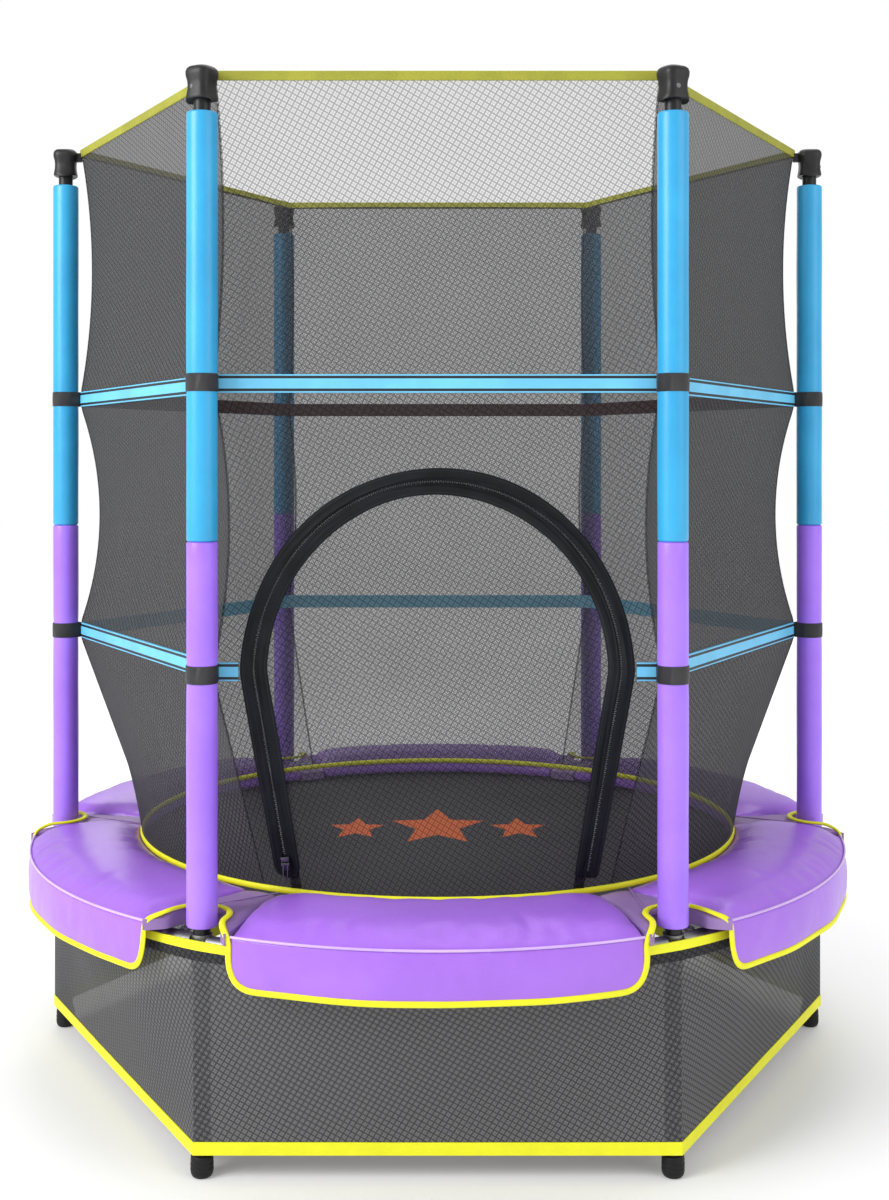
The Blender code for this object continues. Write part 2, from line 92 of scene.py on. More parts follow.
lightSetup = {
    "key": {"place": (-3.3, -2.5, 2.7), "size": 2.6, "watts": 140},
    "fill": {"place": (3.0, -2.4, 2.2), "size": 2.8, "watts": 32},
    "top": {"place": (0.3, 0.6, 4.0), "size": 3.0, "watts": 60},
    "back": {"place": (-1.0, 3.6, 2.4), "size": 2.4, "watts": 18},
}
for lightName, setup in lightSetup.items():
    lamp = bpy.data.lights.new(lightName, "AREA")
    lamp.shape = "DISK"
    lamp.size = setup["size"]
    lamp.energy = setup["watts"]
    light = bpy.data.objects.new(lightName, lamp)
    light.location = setup["place"]
    light.rotation_euler = (Vector((0, 0, 0.8)) - light.location).to_track_quat("-Z", "Y").to_euler()
    scene.collection.objects.link(light)

world = bpy.data.worlds.new("studio")
world.use_nodes = True
worldShade = world.node_tree.nodes["Background"]
worldShade.inputs["Color"].default_value = (1.0, 1.0, 1.0, 1.0)
worldStrength = world.node_tree.nodes.new("ShaderNodeMapRange")     # white to look at, softer as a light
worldStrength.inputs["To Min"].default_value = 0.62
worldStrength.inputs["To Max"].default_value = 1.0
worldRay = world.node_tree.nodes.new("ShaderNodeLightPath")
world.node_tree.links.new(worldRay.outputs["Is Camera Ray"], worldStrength.inputs["Value"])
world.node_tree.links.new(worldStrength.outputs[0], worldShade.inputs["Strength"])
scene.world = world
print("camera and lights set")


def addNode(tree, kind, settings=None, inputs=None):
    node = tree.nodes.new(kind)
    for name, value in (settings or {}).items():
        setattr(node, name, value)
    for name, value in (inputs or {}).items():
        if isinstance(value, bpy.types.NodeSocket):
            tree.links.new(value, node.inputs[name])
        else:
            node.inputs[name].default_value = value
    return node


def calc(tree, operation, first, second=0.0, third=0.0):
    node = addNode(tree, "ShaderNodeMath", {"operation": operation}, {0: first, 1: second, 2: third})
    return node.outputs[0]


def mixColour(tree, factor, first, second, blend="MIX"):
    node = addNode(tree, "ShaderNodeMix", {"data_type": "RGBA", "blend_type": blend},
                   {"Factor": factor, "A": first, "B": second})
    return node.outputs["Result"]


def startGroup(name, inputs, outputs):
    group = bpy.data.node_groups.new(name, "ShaderNodeTree")
    for label, kind, value in inputs:
        socket = group.interface.new_socket(label, in_out="INPUT", socket_type=kind)
        if value is not None:
            socket.default_value = value
    for label, kind in outputs:
        group.interface.new_socket(label, in_out="OUTPUT", socket_type=kind)
    source = group.nodes.new("NodeGroupInput")
    target = group.nodes.new("NodeGroupOutput")
    return group, source.outputs, target.inputs


def useGroup(tree, group, inputs):
    return addNode(tree, "ShaderNodeGroup", {"node_tree": group}, inputs).outputs


def mapRange(tree, value, low, high, toLow=0.0, toHigh=1.0, smooth=False):
    return addNode(tree, "ShaderNodeMapRange", {"interpolation_type": "SMOOTHSTEP" if smooth else "LINEAR"},
                   {"Value": value, "From Min": low, "From Max": high,
                    "To Min": toLow, "To Max": toHigh}).outputs[0]


def splitPlace(tree, place):
    return addNode(tree, "ShaderNodeSeparateXYZ", None, {"Vector": place}).outputs


def noiseAt(tree, place, scale, detail, roughness=0.5):
    return addNode(tree, "ShaderNodeTexNoise", None, {"Vector": place, "Scale": scale, "Detail": detail,
                                                      "Roughness": roughness}).outputs["Fac"]


numberKind = "NodeSocketFloat"
colourKind = "NodeSocketColor"
vectorKind = "NodeSocketVector"


# threads along one direction: 1 on a thread, 0 in the hole
def threadLine(tree, along, pitch, share):
    turns = calc(tree, "DIVIDE", along, pitch)
    saw = calc(tree, "PINGPONG", turns, 0.5)
    edge = calc(tree, "DIVIDE", share, 2.0)
    soft = calc(tree, "MULTIPLY", edge, 1.3)
    return mapRange(tree, saw, soft, calc(tree, "MULTIPLY", edge, 0.6), smooth=True)


def buildNetGroup():
    inputs = [("Place", vectorKind, None), ("Pitch", numberKind, 0.0087), ("Turn", numberKind, 0.52),
              ("Thin", numberKind, 0.3), ("Thread", numberKind, 0.85)]
    outputs = [("Cover", numberKind), ("Height", numberKind), ("Line", numberKind)]
    group, given, result = startGroup("knitMesh", inputs, outputs)
    turned = addNode(group, "ShaderNodeVectorRotate", {"rotation_type": "Z_AXIS"},
                     {"Vector": given["Place"], "Angle": given["Turn"]})
    parts = splitPlace(group, turned.outputs[0])
    coarse = calc(group, "MAXIMUM", threadLine(group, parts["X"], given["Pitch"], 0.24),
                  threadLine(group, parts["Y"], given["Pitch"], 0.24))
    finePitch = calc(group, "DIVIDE", given["Pitch"], 2.0)
    fine = calc(group, "MAXIMUM", threadLine(group, parts["X"], finePitch, 0.34),
                threadLine(group, parts["Y"], finePitch, 0.34))
    vary = mapRange(group, noiseAt(group, given["Place"], 9.0, 3.0), 0.3, 0.7, 0.985, 1.015)
    middle = calc(group, "MULTIPLY_ADD", fine, 0.22, given["Thin"])
    cover = addNode(group, "ShaderNodeMix", {"data_type": "FLOAT"},
                    {"Factor": coarse, "A": middle, "B": given["Thread"]}).outputs[0]
    group.links.new(calc(group, "MULTIPLY", cover, vary), result["Cover"])
    group.links.new(calc(group, "ADD", coarse, calc(group, "MULTIPLY", fine, 0.4)), result["Height"])
    group.links.new(coarse, result["Line"])
    return group


def buildWeaveGroup():
    inputs = [("Place", vectorKind, None), ("Pitch", numberKind, 0.0012), ("Uneven", numberKind, 0.2)]
    group, given, result = startGroup("plainWeave", inputs, [("Height", numberKind), ("Shade", numberKind)])
    parts = splitPlace(group, given["Place"])
    frequency = calc(group, "DIVIDE", math.pi, given["Pitch"])
    warp = calc(group, "SINE", calc(group, "MULTIPLY", parts["X"], frequency))
    weft = calc(group, "SINE", calc(group, "MULTIPLY", parts["Y"], frequency))
    over = calc(group, "MULTIPLY", warp, weft)
    height = calc(group, "MULTIPLY_ADD", over, 0.5, 0.5)
    slub = noiseAt(group, given["Place"], 60.0, 3.0)
    mixed = addNode(group, "ShaderNodeMix", {"data_type": "FLOAT"},
                    {"Factor": given["Uneven"], "A": height, "B": slub}).outputs[0]
    group.links.new(mixed, result["Height"])
    group.links.new(calc(group, "MULTIPLY_ADD", mixed, 0.5, 0.72), result["Shade"])
    return group


def buildGrainGroup():
    inputs = [("Place", vectorKind, None), ("Scale", numberKind, 300.0), ("Light", colourKind, (1, 1, 1, 1)),
              ("Dark", colourKind, (0.5, 0.5, 0.5, 1)), ("Patch", numberKind, 6.0)]
    outputs = [("Colour", colourKind), ("Height", numberKind), ("Mask", numberKind)]
    group, given, result = startGroup("grainAndTone", inputs, outputs)
    broad = noiseAt(group, given["Place"], given["Patch"], 4.0, 0.6)
    tone = mapRange(group, broad, 0.35, 0.68, smooth=True)
    group.links.new(mixColour(group, tone, given["Light"], given["Dark"]), result["Colour"])
    group.links.new(noiseAt(group, given["Place"], given["Scale"], 2.0), result["Height"])
    group.links.new(tone, result["Mask"])
    return group


# light scuffs and dust that break up the gloss
def buildWearGroup():
    inputs = [("Place", vectorKind, None), ("Scale", numberKind, 30.0), ("Amount", numberKind, 0.3)]
    group, given, result = startGroup("scuffs", inputs, [("Mask", numberKind)])
    stretched = addNode(group, "ShaderNodeMapping", None,
                        {"Vector": given["Place"], "Scale": (1.0, 1.0, 0.25)}).outputs[0]
    mask = mapRange(group, noiseAt(group, stretched, given["Scale"], 6.0, 0.7), 0.52, 0.75, smooth=True)
    group.links.new(calc(group, "MULTIPLY", mask, given["Amount"]), result["Mask"])
    return group


# dashes of thread along U, at a row across V
def buildStitchGroup():
    inputs = [("Place", vectorKind, None), ("Row", numberKind, 0.0), ("Length", numberKind, 0.0035),
              ("Thick", numberKind, 0.0006)]
    group, given, result = startGroup("stitchRow", inputs, [("Mask", numberKind)])
    parts = splitPlace(group, given["Place"])
    away = calc(group, "ABSOLUTE", calc(group, "SUBTRACT", parts["Y"], given["Row"]))
    near = calc(group, "LESS_THAN", away, given["Thick"])
    turns = calc(group, "DIVIDE", parts["X"], given["Length"])
    dash = calc(group, "LESS_THAN", calc(group, "FRACT", turns), 0.68)
    group.links.new(calc(group, "MULTIPLY", near, dash), result["Mask"])
    return group


knitMesh = buildNetGroup()
plainWeave = buildWeaveGroup()
grainAndTone = buildGrainGroup()
scuffs = buildWearGroup()
stitchRow = buildStitchGroup()


def startMaterial(name, roughness, metallic=0.0, **more):
    material = bpy.data.materials.new(name)
    material.use_nodes = True
    tree = material.node_tree
    shader = tree.nodes["Principled BSDF"]
    shader.inputs["Roughness"].default_value = roughness
    shader.inputs["Metallic"].default_value = metallic
    for label, value in more.items():
        shader.inputs[label.replace("_", " ")].default_value = value
    place = tree.nodes.new("ShaderNodeTexCoord")
    return material, tree, shader, place.outputs


def addBump(tree, shader, height, distance, strength=1.0):
    bump = addNode(tree, "ShaderNodeBump", None,
                   {"Height": height, "Distance": distance, "Strength": strength})
    tree.links.new(bump.outputs["Normal"], shader.inputs["Normal"])


def grainMaterial(name, light, dark, roughness, bump, scale=300.0, patch=6.0, wear=0.2, metallic=0.0,
                  **more):
    material, tree, shader, place = startMaterial(name, roughness, metallic, **more)
    grain = useGroup(tree, grainAndTone, {"Place": place["Object"], "Scale": scale, "Light": light + (1,),
                                          "Dark": dark + (1,), "Patch": patch})
    tree.links.new(grain["Colour"], shader.inputs["Base Color"])
    worn = useGroup(tree, scuffs, {"Place": place["Object"], "Amount": wear})
    tree.links.new(calc(tree, "ADD", worn["Mask"], roughness), shader.inputs["Roughness"])
    addBump(tree, shader, grain["Height"], bump)
    return material


# cloth with a weave that follows the piece's own UV, in metres
def wovenMaterial(name, light, dark, roughness, pitch, bump, rows=(), thread=None, **more):
    material, tree, shader, place = startMaterial(name, roughness, 0.0, **more)
    weave = useGroup(tree, plainWeave, {"Place": place["UV"], "Pitch": pitch})
    grain = useGroup(tree, grainAndTone, {"Place": place["Object"], "Scale": 500.0, "Light": light + (1,),
                                          "Dark": dark + (1,), "Patch": 14.0})
    colour = mixColour(tree, 1.0, grain["Colour"], weave["Shade"], "MULTIPLY")
    height = weave["Height"]
    for row in rows:
        stitch = useGroup(tree, stitchRow, {"Place": place["UV"], "Row": row})["Mask"]
        colour = mixColour(tree, stitch, colour, (thread or light) + (1,))
        height = calc(tree, "MULTIPLY_ADD", stitch, 1.5, height)
    tree.links.new(colour, shader.inputs["Base Color"])
    addBump(tree, shader, height, bump)
    return material


# open net: darker on its threads, and closing up where it is seen along its face
def meshMaterial(name, fill, line, pitch, turn, thin, thread, oblique=0.75):
    material, tree, shader, place = startMaterial(name, 0.85, Specular_IOR_Level=0.15)
    net = useGroup(tree, knitMesh, {"Place": place["UV"], "Pitch": pitch, "Turn": turn, "Thin": thin,
                                    "Thread": thread})
    shade = tuple(0.94 * part for part in fill)
    grain = useGroup(tree, grainAndTone, {"Place": place["Object"], "Scale": 400.0, "Light": fill + (1,),
                                          "Dark": shade + (1,), "Patch": 3.0})
    tree.links.new(mixColour(tree, net["Line"], grain["Colour"], line + (1,)), shader.inputs["Base Color"])
    facing = addNode(tree, "ShaderNodeLayerWeight", None, {"Blend": 0.5}).outputs["Facing"]
    bare = calc(tree, "SUBTRACT", 1.0, net["Cover"])
    closing = calc(tree, "MULTIPLY", facing, oblique)
    tree.links.new(calc(tree, "MULTIPLY_ADD", bare, closing, net["Cover"]), shader.inputs["Alpha"])
    addBump(tree, shader, net["Height"], 0.0004)
    return material


# the ring tubes' steel is a darker copy of the springs' galvanised steel: painted shade for the rails under
# the pad
shadedRailSteel = grainMaterial("shadedGalvanisedSteel", (0.34, 0.345, 0.35), (0.24, 0.245, 0.25), 0.42, 0.0002,
                      120, 40, 0.20, 1.0)
springSteel = grainMaterial("springSteel", (0.66, 0.66, 0.68), (0.50, 0.50, 0.52), 0.28, 0.0001,
                            500, 30, 0.2, 1.0)
blackSteel = grainMaterial("blackPaint", (0.008, 0.008, 0.009), (0.014, 0.014, 0.015), 0.36, 0.00015,
                           900, 20, 0.20, Specular_IOR_Level=0.35)
rubber = grainMaterial("blackRubber", (0.004, 0.004, 0.005), (0.009, 0.009, 0.010), 0.55, 0.0003,
                       700, 30, 0.25, Specular_IOR_Level=0.3)
capPlastic = grainMaterial("capPlastic", (0.010, 0.010, 0.011), (0.018, 0.018, 0.019), 0.40, 0.0002,
                           800, 25, 0.15, Specular_IOR_Level=0.35)
# the spring button is real, but its light grey is a painted highlight dot on the dark cap
buttonHighlightPlastic = grainMaterial("buttonHighlightPlastic", (0.16, 0.16, 0.17), (0.12, 0.12, 0.13), 0.35, 0.0001,
                              700, 25, 0.2)
purpleFoam = grainMaterial("purpleFoam", (0.40, 0.195, 0.97), (0.36, 0.165, 0.90), 0.33, 0.0003,
                           420, 9, 0.10)
blueFoam = grainMaterial("blueFoam", (0.034, 0.40, 0.73), (0.028, 0.35, 0.66), 0.33, 0.0003, 420, 9, 0.10)
zipMetal = grainMaterial("zipMetal", (0.09, 0.09, 0.10), (0.16, 0.16, 0.17), 0.30, 0.0001, 600, 60, 0.3, 1.0)
netGrey, netLine = (0.070, 0.070, 0.072), (0.028, 0.028, 0.030)
netThin = meshMaterial("netThin", netGrey, netLine, 0.0087, 0.52, 0.17, 0.60)
netFull = meshMaterial("netFull", netGrey, netLine, 0.0087, 0.52, 0.50, 0.80)
skirtMesh = meshMaterial("skirtMesh", (0.130, 0.130, 0.135), (0.045, 0.045, 0.047), 0.0080, 0.52,
                         0.68, 0.92, 0.6)
skirtDouble = meshMaterial("skirtDouble", (0.050, 0.050, 0.053), (0.020, 0.020, 0.021), 0.0080, 0.52,
                           0.90, 0.98)
yellowTape = wovenMaterial("yellowTape", (0.93, 0.93, 0.008), (0.88, 0.87, 0.006), 0.55, 0.0011, 0.0002)
oliveTape = wovenMaterial("oliveTape", (0.36, 0.36, 0.030), (0.30, 0.30, 0.022), 0.60, 0.0011, 0.0002)
cuffCloth = wovenMaterial("cuffCloth", (0.020, 0.020, 0.022), (0.030, 0.030, 0.032), 0.40, 0.0013, 0.0003)
bandCloth = wovenMaterial("bandCloth", (0.008, 0.010, 0.012), (0.004, 0.005, 0.006), 0.50, 0.0009, 0.0002,
                          (0.0165, -0.0165), (0.022, 0.025, 0.028), Specular_IOR_Level=0.15)
print("materials made")


def onCircle(radius, angle, z):
    return Vector((radius * math.cos(angle), radius * math.sin(angle), z))


def stationMatrix(index):
    return Matrix.Rotation(index * sixth, 4, "Z") @ Matrix.Translation((poleCircle, 0, 0))


def onHexagon(radius, side, share, z):
    return onCircle(radius, side * sixth, z).lerp(onCircle(radius, (side + 1) * sixth, z), share)


def facesOut(bm):
    bmesh.ops.recalc_face_normals(bm, faces=bm.faces)


def moveBy(bm, vec):
    bmesh.ops.translate(bm, verts=bm.verts, vec=vec)


def scaleBy(bm, vec):
    bmesh.ops.scale(bm, verts=bm.verts, vec=vec)


def turnBy(bm, angle):
    bmesh.ops.rotate(bm, verts=bm.verts, cent=(0, 0, 0), matrix=Matrix.Rotation(angle, 3, "Z"))


def roundEdges(bm, edges, offset, segments):
    bmesh.ops.bevel(bm, geom=edges, offset=offset, segments=segments, profile=0.5, affect="EDGES",
                    material=-1)


def roundedBlock(size, corner, segments=3):
    bm = bmesh.new()
    bmesh.ops.create_cube(bm, size=1)
    scaleBy(bm, size)
    roundEdges(bm, bm.edges, corner, segments)
    return bm


def latheMesh(profile, steps, ring=False):
    bm = bmesh.new()
    points = [bm.verts.new((radius, 0, z)) for radius, z in profile]
    lines = [bm.edges.new(pair) for pair in zip(points, points[1:])]
    if ring:
        lines.append(bm.edges.new((points[-1], points[0])))
    bmesh.ops.spin(bm, geom=points + lines, cent=(0, 0, 0), axis=(0, 0, 1), angle=2 * math.pi,
                   steps=steps, use_merge=True)
    bmesh.ops.remove_doubles(bm, verts=bm.verts, dist=1e-6)
    facesOut(bm)
    return bm


def makePiece(name, bm, materials, body="frame", slot=None, instead=(), sharp=35):
    mesh = bpy.data.meshes.new(name)
    bm.to_mesh(mesh)
    bm.free()
    mesh.shade_smooth()
    mesh.set_sharp_from_angle(angle=math.radians(sharp))
    for material in materials if isinstance(materials, tuple) else (materials,):
        mesh.materials.append(material)
    piece = bpy.data.objects.new(name, mesh)
    scene.collection.objects.link(piece)
    if body:
        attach(piece, body)
    if instead:
        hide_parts(*instead)
    return piece


def joinInto(bm, part):
    mesh = bpy.data.meshes.new("part")
    part.to_mesh(mesh)
    part.free()
    bm.from_mesh(mesh)
    bpy.data.meshes.remove(mesh)


def addModifier(piece, kind, **settings):
    modifier = piece.modifiers.new(kind.lower(), kind)
    for name, value in settings.items():
        setattr(modifier, name, value)
    return modifier


# a grid of width x height metres, one place per vertex from a rule, with its UV in metres
def ruledSheet(bm, columns, rows, width, height, rule):
    layer = bm.loops.layers.uv.verify()
    verts = bmesh.ops.create_grid(bm, x_segments=columns, y_segments=rows, size=0.5)["verts"]
    shares = {vert: (vert.co.x + 0.5, vert.co.y + 0.5) for vert in verts}
    for face in {face for vert in verts for face in vert.link_faces}:
        for loop in face.loops:
            across, up = shares[loop.vert]
            loop[layer].uv = (across * width, (up - 0.5) * height)
    for vert in verts:
        vert.co = rule(*shares[vert])


def sheetPiece(name, columns, rows, width, height, rule, materials, **more):
    bm = bmesh.new()
    ruledSheet(bm, columns, rows, width, height, rule)
    return makePiece(name, bm, materials, **more)


# faces between rows of vertices, with UV in metres along and around, and caps on open ends
def skinRows(bm, rows, closed):
    layer = bm.loops.layers.uv.verify()
    count = len(rows[0])
    around = [0.0]
    for side in range(count):
        around.append(around[-1] + (rows[0][(side + 1) % count].co - rows[0][side].co).length)
    along = [0.0]
    for first, second in zip(rows, rows[1:] + rows[:1]):
        along.append(along[-1] + (second[0].co - first[0].co).length)
    for row in range(len(rows) if closed else len(rows) - 1):
        near, far = rows[row], rows[(row + 1) % len(rows)]
        for side in range(count):
            after = (side + 1) % count
            face = bm.faces.new((near[side], near[after], far[after], far[side]))
            corners = ((row, side), (row, side + 1), (row + 1, side + 1), (row + 1, side))
            for loop, (step, turn) in zip(face.loops, corners):
                loop[layer].uv = (along[step], around[turn])
    if not closed:
        bm.faces.new(rows[0])
        bm.faces.new(rows[-1])


def ovalSection(wide, high, sides):
    turns = [2 * math.pi * side / sides for side in range(sides)]
    return [(math.cos(turn) * wide / 2, math.sin(turn) * high / 2) for turn in turns]


# a section carried square to a line of points; uprights give each ring's second direction
def sweepInto(bm, points, section, closed, uprights):
    rows = []
    count = len(points)
    for index, point in enumerate(points):
        before = points[index - 1] if closed or index else point
        after = points[(index + 1) % count] if closed or index < count - 1 else point
        upright = uprights[index] if isinstance(uprights, list) else uprights
        side = (after - before).cross(upright).normalized()
        lift = side.cross(after - before).normalized()
        rows.append([bm.verts.new(point + side * out + lift * up) for out, up in section])
    skinRows(bm, rows, closed)


# UV in metres from the place, good enough for a fine weave on a narrow tape
def wrapUV(bm):
    layer = bm.loops.layers.uv.verify()
    for face in bm.faces:
        flat = abs(face.normal.z) > 0.7
        for loop in face.loops:
            place = loop.vert.co
            around = math.atan2(place.y, place.x) * 0.65
            loop[layer].uv = (around, place.xy.length if flat else place.z)


def rowsPiece(name, rows, closed, material, **more):
    bm = bmesh.new()
    skinRows(bm, [[bm.verts.new(place) for place in row] for row in rows], closed)
    facesOut(bm)
    return makePiece(name, bm, material, **more)


def sweptPiece(name, points, section, closed, uprights, material, **more):
    bm = bmesh.new()
    sweepInto(bm, points, section, closed, uprights)
    facesOut(bm)
    return makePiece(name, bm, material, **more)


def smoothLoop(points, passes):
    for _ in range(passes):
        nexts = points[1:] + points[:1]
        points = [(points[index - 1] + point * 2 + nexts[index]) / 4 for index, point in enumerate(points)]
    return points


def turnOutward(bm, outward):
    bm.normal_update()
    total = sum((face.normal * face.calc_area() for face in bm.faces), Vector())
    if total.dot(outward) < 0:
        bmesh.ops.reverse_faces(bm, faces=bm.faces)


tube = Shape(radius=0.0125, wall=0.0013, sides=32)
ring = Shape(z=0.335, socket=0.0152, bore=0.0130, low=0.300, top=0.3495, steps=36)


def tubeProfile(low, top, outer, wall, edge=0.0006):
    inner = outer - wall
    return [(inner, low), (outer - edge, low), (outer, low + edge), (outer, top - edge),
            (outer - edge, top), (inner, top)]


def atStation(bm, index):
    bmesh.ops.transform(bm, matrix=stationMatrix(index), verts=bm.verts)
    return bm


def buildRails():
    for index, name in enumerate(sideNames):
        start = math.asin(ring.socket / poleCircle) * 0.9
        end = sixth - math.asin(ring.socket / poleCircle) * 1.02
        bm = bmesh.new()
        turn = Matrix.Translation((poleCircle, 0, ring.z)) @ Matrix.Rotation(math.pi / 2, 4, "X")
        loop = bmesh.ops.create_circle(bm, segments=24, radius=tube.radius,
                                       matrix=Matrix.Rotation(start, 4, "Z") @ turn)["verts"]
        lines = list({edge for vert in loop for edge in vert.link_edges})
        bmesh.ops.spin(bm, geom=loop + lines, cent=(0, 0, 0), axis=(0, 0, 1), angle=end - start,
                       steps=ring.steps)
        bmesh.ops.holes_fill(bm, edges=bm.edges, sides=0)
        wall = ring.socket - ring.bore
        socket = latheMesh(tubeProfile(ring.low, ring.top, ring.socket, wall), tube.sides, True)
        bead = latheMesh([(ring.socket + 0.0014 * math.cos(a), ring.z + 0.0016 * math.sin(a))
                          for a in [math.radians(d) for d in range(0, 360, 60)]], 24, True)
        # the weld bead runs round the joint of tube and socket
        place = Matrix.Translation((0, ring.socket * 0.62, ring.z)) @ Matrix.Rotation(math.pi / 2, 4, "X")
        moveBy(bead, (0, 0, -ring.z))
        scaleBy(bead, (0.86, 0.86, 1))
        bmesh.ops.transform(bead, matrix=place, verts=bead.verts)
        for part in (socket, bead):
            moveBy(part, (poleCircle, 0, 0))
            joinInto(bm, part)
        turnBy(bm, index * sixth)
        facesOut(bm)
        makePiece("ring_tube_" + name, bm, shadedRailSteel, slot="galvanised_steel", instead=["rail_" + name])


foam = Shape(radius=0.0225, round=0.0030, rings=30, sides=48, ripple=0.0005, seam=0.0011)
cuff = Shape(height=0.026, proud=0.0014, tongue=0.0062, highZ=1.144, lowZ=0.7235)


def foamProfile(low, top):
    outer = foam.radius
    bore = tube.radius + 0.0003
    soft = foam.round
    arc = [math.pi / 2 * step / 3 for step in range(4)]
    corner = [(outer - soft * (1 - math.sin(angle)), soft * (1 - math.cos(angle))) for angle in arc]
    profile = [(bore, low + 0.0008), (bore + 0.0008, low)]
    profile += [(radius, low + up) for radius, up in corner]
    for step in range(1, foam.rings):
        profile.append((outer, low + soft + (top - low - 2 * soft) * step / foam.rings))
    profile += [(radius, top - up) for radius, up in reversed(corner)]
    return profile + [(bore + 0.0008, top), (bore, top - 0.0008)]


def buildFoam(kind, slot, material, cuffZ):
    for index, name in enumerate(stations):
        low, top = span(f"foam_{kind}_{name}")
        bm = latheMesh(foamProfile(low, top), foam.sides, True)
        for vert in bm.verts:
            radius = vert.co.xy.length
            if radius < foam.radius - 0.004:
                continue
            spot = Vector((vert.co.x * 30, vert.co.y * 30 + index * 7, vert.co.z * 9))
            change = noise.noise(spot) * foam.ripple
            squeeze = math.exp(-((vert.co.z - cuffZ) / (cuff.height * 0.62)) ** 4)
            change -= 0.0007 * squeeze
            backward = abs(abs(math.atan2(vert.co.y, vert.co.x)) - math.pi)
            change -= foam.seam * math.exp(-(backward / 0.07) ** 2)
            vert.co.xy *= (radius + change) / radius
        sleeve = makePiece(f"{kind}_sleeve_{name}", atStation(bm, index), material, slot=slot,
                           instead=[f"foam_{kind}_{name}"])


capShape = Shape(radius=0.0218, waist=0.0190, square=3.2, flare=0.0032, drop=0.0035)


def squareRound(vert, power):
    angle = math.atan2(vert.co.y, vert.co.x)
    grown = (abs(math.cos(angle)) ** power + abs(math.sin(angle)) ** power) ** (-1 / power)
    vert.co.xy *= grown * 0.965


def buildCap(index, name):
    low, top = span("cap_" + name)
    bore = tube.radius + 0.0003
    wide, waist = capShape.radius, capShape.waist
    profile = [(0, top), (wide * 0.55, top - 0.0002), (wide * 0.80, top - 0.0012),
               (wide * 0.93, top - 0.0038), (wide, top - 0.0085), (wide * 0.985, top - 0.014),
               (waist * 1.03, top - 0.021),
               (waist, top - 0.027), (waist * 1.01, top - 0.034), (wide * 0.94, low + 0.006),
               (wide * 0.97, low + 0.0015), (wide * 0.94, low), (bore, low), (bore, top - 0.010),
               (0, top - 0.010)]
    bm = latheMesh(profile, 48)
    for vert in bm.verts:
        radius = vert.co.xy.length
        if radius < bore + 0.001:
            continue
        side = abs(math.sin(math.atan2(vert.co.y, vert.co.x))) ** 6
        near = max(0.0, 1 - (vert.co.z - low) / 0.012)
        vert.co.xy *= 1 + side * near * capShape.flare / radius
        vert.co.z -= side * near * capShape.drop
        squareRound(vert, capShape.square)
    button = latheMesh([(0, 0.0028), (0.0022, 0.0026), (0.0034, 0.0016), (0.0038, 0), (0, -0.001)], 20)
    outward = Matrix.Rotation(math.pi / 2, 4, "Y")
    place = Matrix.Translation((waist * 0.93, 0, low + 0.017)) @ outward
    # the spring button faces away from the middle, a little to one side
    place = Matrix.Rotation(math.radians(-14), 4, "Z") @ place
    bmesh.ops.transform(button, matrix=place, verts=button.verts)
    hook = roundedBlock((0.012, 0.010, 0.016), 0.0018, 2)
    moveBy(hook, (-wide - 0.0022, 0, top - 0.014))
    joinInto(bm, hook)
    makePiece("pole_cap_" + name, atStation(bm, index), capPlastic, slot="cap_plastic",
              instead=["cap_" + name])
    makePiece("cap_button_" + name, atStation(button, index), buttonHighlightPlastic, slot="cap_plastic")


def buildCuff(index, label, height):
    outer = foam.radius - 0.0004 + cuff.proud
    inner = foam.radius - 0.0006
    half = cuff.height / 2
    profile = [(inner, -half), (outer - 0.0006, -half), (outer, -half + 0.0009), (outer + 0.0003, 0),
               (outer, half - 0.0009), (outer - 0.0006, half), (inner, half)]
    profile = [(radius, height + z) for radius, z in profile]
    bm = latheMesh(profile, 56, True)
    for vert in bm.verts:
        angle = abs(math.atan2(vert.co.y, vert.co.x))
        reach = math.exp(-((math.pi - angle) / 0.36) ** 2)
        vert.co.xy *= 1 + reach * cuff.tongue / vert.co.xy.length
    wrapUV(bm)
    makePiece(f"belt_cuff_{label}_{stations[index]}", atStation(bm, index), cuffCloth, slot="belt_webbing")


def buildUprights():
    for index, name in enumerate(stations):
        for node, label in (("leg_", "lower_leg_"), ("pole_", "upright_")):
            low, top = span(node + name)
            bar = latheMesh(tubeProfile(low, top, tube.radius, tube.wall), tube.sides, True)
            makePiece(label + name, atStation(bar, index), blackSteel, slot="black_steel",
                      instead=[node + name])
        buildFoot(index, name)
        buildCap(index, name)
        buildCuff(index, "high", cuff.highZ)
        buildCuff(index, "low", cuff.lowZ)
    buildFoam("lower", "purple_foam", purpleFoam, cuff.lowZ)
    buildFoam("upper", "blue_foam", blueFoam, cuff.highZ)


foot = Shape(radius=0.0168, height=0.032, sole=0.0120, curve=0.011)


def buildFoot(index, name):
    wide, height = foot.radius, foot.height
    sole, curve = foot.sole, foot.curve
    profile = [(0, 0), (sole, 0)]
    for degree in range(10, 91, 16):
        angle = math.radians(degree)
        profile.append((sole + (wide - sole) * math.sin(angle), curve * (1 - math.cos(angle))))
    profile += [(wide, 0.013), (wide - 0.0007, 0.0142), (wide - 0.0007, 0.0152), (wide, 0.0164),
                (wide - 0.0001, 0.020), (wide - 0.0008, 0.0212), (wide - 0.0008, 0.0222),
                (wide - 0.0002, 0.0234), (wide - 0.0008, height - 0.003), (wide - 0.0020, height - 0.0008),
                (wide - 0.0034, height),
                (tube.radius + 0.0003, height), (tube.radius + 0.0003, 0.0082), (0, 0.0082)]
    makePiece("rubber_foot_" + name, atStation(latheMesh(profile, 40), index), rubber, slot="black_rubber",
              instead=["foot_" + name])


buildRails()
buildUprights()
print("frame and uprights built")


